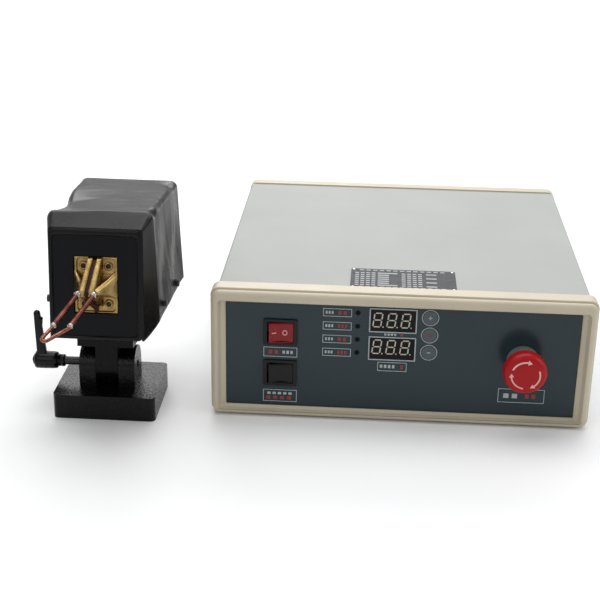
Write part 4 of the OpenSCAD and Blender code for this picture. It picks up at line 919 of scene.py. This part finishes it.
def head_cover_piece():
    cols = 120
    stations = [-0.4, 0.6, 2.0, 4, 6, 8, 10, 12, 14, 16, 18, 20, 21.5, 22.6, 23.4, 24.0, 24.6, 25.4, 26.5, 28, 30]
    stations += [30 + (COVER_L - EDGE_R - 30) * i / 70 for i in range(1, 71)]
    stations += [COVER_L - EDGE_R + EDGE_R * math.sin(math.radians(90 * i / 8)) for i in range(1, 9)]
    rows = []
    for y in stations:
        outline = section(y, cols)
        n = len(outline)
        rows.append([cover_point(x, y, z, 2 * k / (n - 1) - 1) for k, (x, z) in enumerate(outline)])
    n = len(rows[0])
    faces = grid_faces(len(rows), n)
    last = (len(rows) - 1) * n
    for j in range(n // 2 - 1):
        a, b = last + j, last + n - 1 - j
        faces.append((a, a + 1, b - 1, b))
    shell = outward(make_mesh("head_shell", [p for row in rows for p in row], faces))
    thick = shell.modifiers.new("wall", "SOLIDIFY")
    thick.thickness = 1.8 * MM
    thick.offset = -1
    piece(shell, COVER_BLACK, "head", "cover_black", "head_cover")
    # rolled lip round the front panel: (step outward from the panel's visible edge, depth)
    half = FACE_W / 2 + LIP
    lip = [(1.0, 4.0), (1.0, -0.4), (0.93, -0.95), (0.75, -1.35), (0.5, -1.5), (0.32, -1.5), (0.2, -1.35),
           (0.12, -1.1), (0.0, -0.1), (0.0, 4.0)]
    rows = []
    for share, y in lip:
        rows.append([head(x, y, z) for x, z in round_path(
            -half + (1 - share) * 3.4, half - (1 - share) * 4.6,
            -LIP + (1 - share) * 3.2, FACE_H + LIP - (1 - share) * 6.0, 4.5)])
    ring = outward(grid_mesh("head_lip", rows, wrap_rows=True, wrap_cols=True))
    piece(ring, COVER_BLACK, "head", "cover_black")


def head_pieces():
    head_cover_piece()
    terminal_piece("terminal_left", -1)
    terminal_piece("terminal_right", 1)
    socket_screws()
    slot_piece()
    soften(dress(NODES["face_plate"], FACE_BLACK), 0.5, segments=3)
    soften(dress(NODES["head_cover_screws"], DARK_STEEL), 0.8, segments=3)
    for node, mat, width in (("terminal_backing", PHENOLIC, 0.3), ("head_base_plate", BRACKET, 0.4),
                             ("ferrite_core", FERRITE, 0.6), ("primary_winding", WINDING, 0.8),
                             ("secondary_tubes", COPPER, 0.4), ("tank_capacitors", FILM_CAP, 0.8),
                             ("head_gland", SATIN_BLACK, 0.6), ("hose_barbs", BRASS, 0.3)):
        soften(dress(NODES[node], mat), width)


# ---------------------------------------------------------------- terminals

TERM_FACE = 0.5          # the terminal plates' front, behind the panel's face
TERM_BACK = 4.4
TERM_Z0 = 21.7
TERM_Z1 = 72.7
TERM_OUT = 19.2
SLOT = 1.7               # half width of the slot
RIB = 6.4                # outer edge of the rib along the slot
NOSE_Z = 45.7
NOSE_L = 24.0
NOSE_LEAN = 8.0
SCREW_X = 10.9
SCREW_Z = (TERM_Z0 + 8.5, TERM_Z1 - 8.5)


def rib_height(z):
    """Height of the rib over the plate: a short slope below the nose and a long one above it."""
    stops = ((TERM_Z0 + 6, 0), (NOSE_Z - 5.4, NOSE_L - 4), (NOSE_Z - 3.2, NOSE_L - 0.3), (NOSE_Z + 2, NOSE_L),
             (TERM_Z1 - 1.6, 3.4), (TERM_Z1 - 0.4, 1.4))
    if z <= stops[0][0] or z >= stops[-1][0]:
        return 0.0
    for (za, ha), (zb, hb) in zip(stops, stops[1:]):
        if za <= z <= zb:
            return ha + (hb - ha) * (z - za) / (zb - za)
    return 0.0


def flank_height(u, z):
    """Turned flank that widens from the nose to the plate's outer edge."""
    run = (u - RIB) / (TERM_OUT - RIB)
    if run < 0:
        return 0.0
    middle, half = NOSE_Z - 0.6 + run * 3.0, 6.2 + run * 6.8
    crown = 1 - ((z - middle) / half) ** 2
    return (NOSE_L - 1.5) * (1 - 0.96 * run) * math.sqrt(crown) if crown > 0 else 0.0


def pocket_depth(u, z):
    """D-shaped pocket round each screw, open towards the rib."""
    depth = 0.0
    for zc in SCREW_Z:
        dx, dz = max(0.0, u - 13.2), abs(z - zc)
        reach = math.hypot(dx, max(0.0, dz - 3.4)) - 3.6
        depth = max(depth, 1.7 * (1 - ease((reach + 0.25) / 0.5)))
    return depth


def terminal_piece(node, side):
    lean = math.tan(math.radians(NOSE_LEAN))
    us = [SLOT, SLOT + 0.3, SLOT + 0.8] + [SLOT + 0.8 + (RIB - SLOT - 1.2) * i / 6
                                               for i in range(1, 7)]
    us += [RIB - 0.1, RIB] + [RIB + (TERM_OUT - RIB - 0.5) * i / 44 for i in range(1, 45)] + [TERM_OUT - 0.2, TERM_OUT]
    zs = [TERM_Z0 + (TERM_Z1 - TERM_Z0) * i / 130 for i in range(131)]
    rows = []
    for z in zs:
        row = []
        for u in us:
            edge = min(TERM_OUT - u, z - TERM_Z0, TERM_Z1 - z)
            h = -0.6 * (1 - ease(edge / 0.7))
            if u < RIB:
                soft = 0.5 * (1 - ease((u - SLOT) / 0.7)) + 0.5 * (1 - ease((RIB - u) / 0.6))
                raised = max(rib_height(z) - soft, 0.94 * flank_height(RIB, z))
            else:
                raised = flank_height(u, z)
            h = raised if raised > 0.6 else h - pocket_depth(u, z)
            row.append(head(side * u - max(0.0, h) * lean, TERM_FACE - h, z))
        rows.append([head(side * SLOT, TERM_BACK, z)] + row + [head(side * TERM_OUT, TERM_BACK, z)])
    obj = grid_mesh(node + "_block", rows)
    for poly in obj.data.polygons:
        poly.use_smooth = True
    split = obj.modifiers.new("shade", "EDGE_SPLIT")
    split.split_angle = math.radians(50)
    piece(obj, BRASS, "head", "brass", node)


def socket_screws():
    for i, (x, z) in enumerate((side * SCREW_X, z) for side in (-1, 1) for z in SCREW_Z):
        def place(a, y, b, x=x, z=z):
            return head(x + a, TERM_FACE + 1.7 + y, z + b)

        profile = [(3.9, 0.0), (3.9, -1.2), (3.55, -1.75), (3.0, -1.9), (2.3, -1.9), (2.1, -1.7), (2.05, -0.5), (0.02, -0.5)]
        turned = lathe(f"terminal_screw_{i}", place, profile, 36)
        piece(turned, SCREW_BRASS, "head", "brass", *(("terminal_screws",) if i == 0 else ()))
        # dark hexagon nearly flush in the screw head: painted shade in place of a deep hex socket
        hexagon = lathe(f"terminal_socket_{i}", place, [(0.02, -0.35), (1.75, -0.35), (1.95, -1.5), (0.02, -1.45)], 6)
        piece(hexagon, SOCKET_SHADE, "head", "dark_steel")


def slot_piece():
    lean = math.tan(math.radians(NOSE_LEAN))
    outline = [(TERM_BACK - 0.5, TERM_Z0 + 0.6), (TERM_FACE - 0.6, TERM_Z0 + 0.6), (TERM_FACE - 1.5, TERM_Z0 + 4),
               (TERM_FACE - NOSE_L + 1.5, NOSE_Z - 7.5), (TERM_FACE - NOSE_L + 0.7, NOSE_Z + 0.8),
               (TERM_FACE - 2.6, TERM_Z1 - 2.4), (TERM_BACK - 0.5, TERM_Z1 - 2.4)]
    rows = [[head(x - max(0.0, TERM_FACE - y) * lean, y, z) for y, z in outline] for x in (-SLOT + 0.05, SLOT - 0.05)]
    sheet = outward(grid_mesh("slot_sheet", rows, wrap_cols=True, caps=True, smooth=False))
    piece(sheet, PHENOLIC, "head", "brown_insulation", "slot_insulator")


# ---------------------------------------------------------------- work coil

NOSE = Vector((-3.34, -23.5, 45.7))
TUBE_X = 7.1
LEAD = Vector((-13.5, -36.0, -19.5))
LOOP = Vector((-10.0, -16.0, -7.0))
LOOP_R = 3.0
TUBE_R = 2.25
LOOP_TUBE_R = 1.6


def solder_blob(name, at, along, radius, length, seed):
    """Uneven fillet of solder round a tube."""
    along = along.normalized()
    count = 14
    points = [at + along * length * (i / (count - 1) - 0.5) for i in range(count)]
    rows = sweep([head(*p) for p in points],
                 lambda t: radius * MM * (0.62 + 0.38 * math.sin(math.pi * t) ** 0.7), 24, 0.18, seed)
    return piece(outward(grid_mesh(name, rows, wrap_cols=True, caps=True)), SOLDER, "head", "copper")


def coil_pieces():
    start = NOSE + Vector((0, 3, 0))
    step = LEAD.normalized()
    ends = {}
    for side, tag in ((-1, "left"), (1, "right")):
        a = start + Vector((side * TUBE_X, 0, 0))
        b = a + LEAD
        ends[side] = b
        sag = Vector((0.0, 0.0, -0.35))
        run = curve_points([a, a + LEAD * 0.3 + sag, a + LEAD * 0.65 + sag * 0.6, b], 12)
        rows = sweep([head(*p) for p in run], TUBE_R * MM, 24, 0.015, side)
        tube = outward(grid_mesh(f"coil_lead_{tag}", rows, wrap_cols=True, caps=True))
        piece(tube, COPPER, "head", "copper", *(("coil_leads",) if side < 0 else ()))
        solder_blob(f"socket_solder_{tag}", a + step * 2.6, step, 3.2, 5.0, 2.0 + side)
        solder_blob(f"joint_solder_{tag}", b + step * 0.2, step, 2.5, 4.4, 5.0 + side)
    middle = (ends[-1] + ends[1]) / 2 + LOOP
    ahead = LOOP.normalized()
    across = (Vector((1, 0, 0)) - ahead * ahead.x).normalized()
    path = [ends[-1] + step * 1.2, ends[-1] + step * 3.4]
    turn = [middle + across * LOOP_R * -math.cos(math.radians(a)) + ahead * LOOP_R * math.sin(math.radians(a))
            for a in range(0, 181, 30)]
    path += turn + [ends[1] + step * 3.4, ends[1] + step * 1.2]
    rows = sweep([head(*p) for p in curve_points(path, 8)], LOOP_TUBE_R * MM, 20, 0.03, 9.0)
    piece(outward(grid_mesh("hairpin_loop", rows, wrap_cols=True, caps=True)), HOT_COPPER, "head", "copper",
          "work_loop")


# ---------------------------------------------------------------- the scene

add_camera()
add_studio()
case_pieces()
front_labels()
display_pieces()
key_pieces()
led_pieces()
switch_pieces()
stop_pieces()
rating_plate_pieces()
inside_and_rear()
stand_pieces()
lever_pieces()
head_pieces()
coil_pieces()
